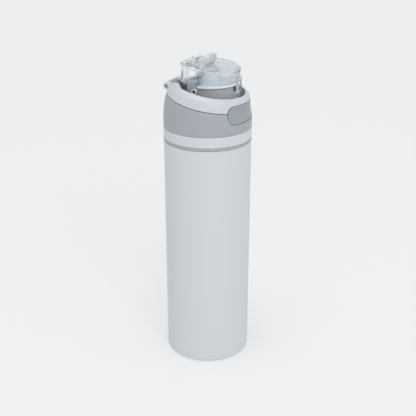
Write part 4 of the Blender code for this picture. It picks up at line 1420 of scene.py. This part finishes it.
@dataclass
class CarryRing:
    """White slanted carry ring with its outer knuckles and the steel pin."""

    datum: Datum
    palette: Palette
    wall: float = 2.9
    bore: float = 30.7
    gap: float = 0.5
    axis_y: float = 31.0
    axis_lift: float = 43.0
    knuckle: float = 3.0
    knuckle_end: float = 12.5
    barrel_start: float = 6.4
    pin_bore: float = 1.5
    pin_radius: float = 1.2
    pin_end: float = 10.6
    button_gap: float = 0.5
    notch_y: float = 21.5
    ledge_foot: float = 42.3
    ledge_back: Point = (6.4, 23.0)
    ledge_side: Point = (20.0, 14.6)
    ledge_end: Point = (28.5, 8.0)
    rows: int = 14

    def build(self) -> None:
        """Model and dress the ring and its pin."""
        base, y, lift = self.datum.seam, self.axis_y, self.axis_lift
        ring = combine(self.band(), "UNION", self.ledge())
        start = self.barrel_start
        notch = block("ring_notch_space", (-start, self.notch_y, 30.0), (start, 42.0, lift + 7.0), base)
        combine(ring, "DIFFERENCE", PILL.prism("ring_pill_space", self.button_gap, base), notch)
        finish_piece(soften(ring, 32.0), self.palette.ring, Body.RING, "white_coat", "carry_ring")
        for tag, side in (("left", -1), ("right", 1)):
            near, far = side * start, side * self.knuckle_end
            barrel = bar("ring_knuckle_" + tag, (near, y, lift), (far, y, lift), self.knuckle, base, 0.4)
            low, high = sorted((near + side * 0.1, far - side * 0.5))
            web = block("ring_web_shape", (low, 28.0, lift - 2.1), (high, y, lift + 1.9), base, 0.5, 2)
            bore = bar("ring_bore_space", (near - side, y, lift), (far + side, y, lift), self.pin_bore,
                       base)
            combine(barrel, "UNION", web)
            combine(barrel, "DIFFERENCE", bore)
            finish_piece(soften(barrel), self.palette.ring, Body.RING, "white_coat")
        end = self.pin_end
        pin = bar("ring_pin", (-end, y, lift), (end, y, lift), self.pin_radius, base, 0.25, 32)
        finish_piece(soften(pin), self.palette.steel, Body.RING, "steel", "ring_hinge_pin")

    def ledge(self) -> bpy.types.Object:
        """Flat ledge that widens the ring towards its hinge.

        Returns:
            The ledge, slightly below the ring's rim and within its wall.
        """
        base = self.datum.seam
        half = [self.ledge_back, self.ledge_side, self.ledge_end, (FAR, FAR / 2), (FAR, FAR)]
        corners = [*half, *[(-x, y) for x, y in reversed(half)]]
        foot = self.ledge_foot
        rows = [(29.2, foot), (29.2, 43.0), (28.6, 44.5), (28.0, 47.0)]
        obj = lathe("ledge_shape", [(0.0, foot), *rows, (0.0, 47.0)], base, FINE)
        quiet()
        bpy.ops.mesh.primitive_circle_add(vertices=len(corners), radius=1.0, fill_type="NGON")
        mask = named(bpy.context.object, "ledge_mask")
        for vertex, (x, y) in zip(mask.data.vertices, corners):
            vertex.co = (x * MM, y * MM, base + (foot - 10.0) * MM)
        pick(mask)
        bpy.ops.object.mode_set(mode="EDIT")
        bpy.ops.mesh.select_all(action="SELECT")
        bpy.ops.mesh.extrude_region_move(TRANSFORM_OT_translate={"value": (0.0, 0.0, FAR * MM)})
        bpy.ops.object.mode_set(mode="OBJECT")
        tidy_normals(mask)
        combine(obj, "INTERSECT", mask)
        ceiling = base + 46.0 * MM

        def topped(point: Vector) -> Triple:
            """Lay the top on the rim's own height.

            Args:
                point: A point of the ledge.

            Returns:
                Its new place.
            """
            if point.z < ceiling:
                return tuple(point)
            around = math.atan2(point.y, point.x)
            rim = OUTLINE.top(OUTLINE.rim * math.sin(around))
            return (point.x, point.y, base + (rim - 0.1) * MM)

        return round_edges(warp(obj, topped), 0.5, 50.0, 3)

    def section(self) -> list[Point]:
        """Rounded section of the ring, as shares of its wall and its height.

        Returns:
            Points whose radius runs from 1 inside to 2 outside, and whose height runs from 0 to 1.
        """
        corners = [(2.0, 1.0, 0.50, 0.15, 90, 0), (2.0, 0.0, 0.20, 0.04, 0, -90),
                   (1.0, 0.0, 0.20, 0.04, 270, 180), (1.0, 1.0, 0.24, 0.06, 180, 90)]
        points = []
        for radius, height, side, rise, start, end in corners:
            centre = (radius + (side if radius < 1.5 else -side),
                      height + (rise if height < 0.5 else -rise))
            for along, up in arc((0.0, 0.0), 1.0, start, end, 7):
                points.append((centre[0] + along * side, centre[1] + up * rise))
            if height > 0.5 and radius > 1.5:
                points += [(2.0, 1.0 - i / self.rows) for i in range(3, self.rows)]
            elif height < 0.5 and radius < 1.5:
                points += [(1.0, i / self.rows) for i in range(1, self.rows)]
            elif radius < 1.5:
                points += [(1.0 + share, 1.0) for share in (0.33, 0.42)]
        return points

    def band(self) -> bpy.types.Object:
        """Turned section laid between the slanted foot and the falling top.

        Returns:
            The ring without its ledge, notch and barrels.
        """
        base, scale = self.datum.seam, 10.0
        profile = [(r * scale, z * scale) for r, z in self.section()]
        obj = lathe("carry_ring_band", profile, base, FINE, closed=True)

        def placed(point: Vector) -> Triple:
            """Turn shares of the section into places on the real ring.

            Args:
                point: A point whose radius and height are shares, times the scale.

            Returns:
                Its place on the ring.
            """
            across = math.hypot(point.x, point.y) / MM / scale - 1.0
            up = (point.z - base) / MM / scale
            around = math.atan2(point.y, point.x)
            rim = OUTLINE.rim * math.sin(around)
            low = OUTLINE.foot((30.2 + 3.8 * across) * math.sin(around)) + self.gap
            high = OUTLINE.top(rim) - OUTLINE.fall(rim) * across
            lift = low + (high - low) * up
            outer = OUTLINE.at(lift)
            inner = min(self.bore, outer - self.wall)
            radius = (inner + (outer - inner) * across) * MM
            return (radius * math.cos(around), radius * math.sin(around), base + lift * MM)

        return warp(obj, placed)


@dataclass
class PushButton:
    """Dished button face and the latch behind it."""

    datum: Datum
    palette: Palette
    back_radius: float = 33.7
    skin: float = 0.1
    rounding: float = 0.45
    rounding_width: float = 0.7
    dish: float = 0.9
    rim: float = 1.6
    step_width: float = 0.5
    bowl: float = 0.35
    bowl_width: float = 5.0
    columns: int = 120
    rows: int = 52

    def build(self) -> None:
        """Model and dress the button."""
        self.face()
        dress_node("latch_slider", self.palette.white)

    def relief(self, inset: float) -> float:
        """Depth below the lid's surface.

        Args:
            inset: Distance in from the button's outline in millimetres.

        Returns:
            The depth in millimetres.
        """
        rounding = self.rounding * max(0.0, 1.0 - inset / self.rounding_width) ** 2
        step = min(1.0, max(0.0, (inset - self.rim) / self.step_width))
        bowl = self.bowl * min(1.0, max(0.0, (inset - self.rim) / self.bowl_width))
        return rounding + self.dish * step * step * (3 - 2 * step) + bowl

    def face(self) -> None:
        """Grid laid over the pill's outline and wrapped round the lid."""
        base = self.datum.seam
        quiet()
        bpy.ops.mesh.primitive_grid_add(x_subdivisions=self.columns, y_subdivisions=self.rows, size=2.0)
        obj = named(bpy.context.object, "button_face")
        half = PILL.height / 2
        straight = PILL.half_arc - half

        def laid(point: Vector) -> Triple:
            """Carry the square grid to the wrapped pill.

            Args:
                point: A point of the grid, between -1 and 1 both ways.

            Returns:
                Its place on the button's face.
            """
            v = math.sin(point.y * math.pi / 2)
            u = math.sin(point.x * math.pi / 2)
            rise = v * half
            along = u * (straight + math.sqrt(max(0.0, half * half - rise * rise)))
            inset = half - math.hypot(max(abs(along) - straight, 0.0), rise)
            lift = PILL.lift + rise
            radius = OUTLINE.at(lift) - self.skin - self.relief(max(0.0, inset))
            turn = along / PILL.wrap_radius
            return (radius * math.sin(turn) * MM, -radius * math.cos(turn) * MM, base + lift * MM)

        warp(obj, laid)
        pick(obj)
        bpy.ops.object.mode_set(mode="EDIT")
        bpy.ops.mesh.select_all(action="SELECT")
        bpy.ops.mesh.extrude_region_move()
        bpy.ops.object.mode_set(mode="OBJECT")
        back = self.back_radius * MM
        for vertex in obj.data.vertices:
            if vertex.select:
                around = math.atan2(vertex.co.x, -vertex.co.y)
                vertex.co = (back * math.sin(around), -back * math.cos(around), vertex.co.z)
        tidy_normals(obj)
        finish_piece(soften(obj, 50.0), self.palette.button, Body.BUTTON, "button_plastic",
                     "release_button")


# ---------------------------------------------------------------- studio


@dataclass
class Studio:
    """Pale floor, soft light and the camera."""

    datum: Datum
    focal: float = 69.23
    pitch: float = 23.04
    distance: float = 0.6296
    height_above_seam: float = 0.2048
    azimuth: float = -65.0
    aside: float = 0.00029
    floor_size: float = 60.0
    floor_tone: tuple[float, float] = (0.50, 0.505)
    floor_glow: float = 0.86
    floor_glow_strength: float = 0.42
    surround_strength: float = 0.70

    def build(self) -> None:
        """Set up floor, light and camera."""
        self.floor()
        self.lights()
        self.camera()

    def floor(self) -> None:
        """Large pale floor with a faint sheen."""
        quiet()
        bpy.ops.mesh.primitive_plane_add(size=self.floor_size)
        obj = named(bpy.context.object, "studio_floor")
        graph = Graph("studio_floor_paper")
        shader = graph.shader.inputs
        darker, lighter = ((tone, tone, tone, 1.0) for tone in self.floor_tone)
        graph.feed(shader["Base Color"], graph.blend(graph.noise(3.0, 2.0), darker, lighter))
        shader["Roughness"].default_value = 0.25
        shader["Specular IOR Level"].default_value = 0.25
        shader["Emission Color"].default_value = (self.floor_glow, self.floor_glow, self.floor_glow, 1.0)
        shader["Emission Strength"].default_value = self.floor_glow_strength
        obj.data.materials.append(graph.material)

    def lights(self) -> None:
        """Even surround light with a soft key from the camera's right and above."""
        scene = bpy.context.scene
        scene.view_settings.view_transform = "Standard"
        world = bpy.data.worlds.new("studio_surround")
        scene.world = world
        world.use_nodes = True
        background = world.node_tree.nodes["Background"]
        background.inputs["Color"].default_value = (0.97, 0.985, 1.0, 1.0)
        background.inputs["Strength"].default_value = self.surround_strength
        self.panel("key_panel", -48.0, 32.0, 2.4, 1.3, 16.0)
        self.panel("top_panel", -90.0, 80.0, 2.2, 1.2, 12.0)

    def panel(self, name: str, azimuth: float, elevation: float, away: float, size: float,
              power: float) -> None:
        """Square area light that faces the lid.

        Args:
            name: Name of the light.
            azimuth: Angle in degrees round the bottle, 0 in front of the button.
            elevation: Angle in degrees above the lid.
            away: Distance from the lid in metres.
            size: Side of the light in metres.
            power: Power in watts.
        """
        data = bpy.data.lights.new(name, "AREA")
        data.energy = power
        data.size = size
        obj = bpy.data.objects.new(name, data)
        bpy.context.scene.collection.objects.link(obj)
        turn, rise = math.radians(azimuth), math.radians(elevation)
        aim = Vector((0.0, 0.0, self.datum.seam))
        flat = math.cos(rise)
        away_from = Vector((math.sin(turn) * flat, -math.cos(turn) * flat, math.sin(rise)))
        obj.location = aim + away_from * away
        obj.rotation_euler = (-away_from).to_track_quat("-Z", "Y").to_euler()

    def camera(self) -> None:
        """Camera above the lid's height, looking slightly down."""
        data = bpy.data.cameras.new("studio_camera")
        data.lens = self.focal
        data.sensor_width = 36.0
        obj = bpy.data.objects.new("studio_camera", data)
        bpy.context.scene.collection.objects.link(obj)
        turn = math.radians(self.azimuth)
        back = Vector((math.sin(turn), -math.cos(turn), 0.0))
        right = Vector((math.cos(turn), math.sin(turn), 0.0))
        obj.location = (back * self.distance + right * self.aside
                        + Vector((0.0, 0.0, self.datum.seam + self.height_above_seam)))
        obj.rotation_euler = (math.radians(90.0 - self.pitch), 0.0, turn)
        bpy.context.scene.camera = obj


def write_sizes() -> None:
    """Update the view layer."""
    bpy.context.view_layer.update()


def main() -> None:
    """Build every sub-assembly in order."""
    logging.basicConfig(level=logging.INFO, format="%(name)s: %(message)s")
    datum = Datum.read()
    palette = Palette.mix()
    for assembly in (Bottle, LidSkirt, Spout, FlipCap, CarryRing, PushButton):
        LOG.info("building %s", assembly.__name__)
        assembly(datum, palette).build()
    Studio(datum).build()
    write_sizes()
    quiet()


if __name__ == "__main__":
    main()
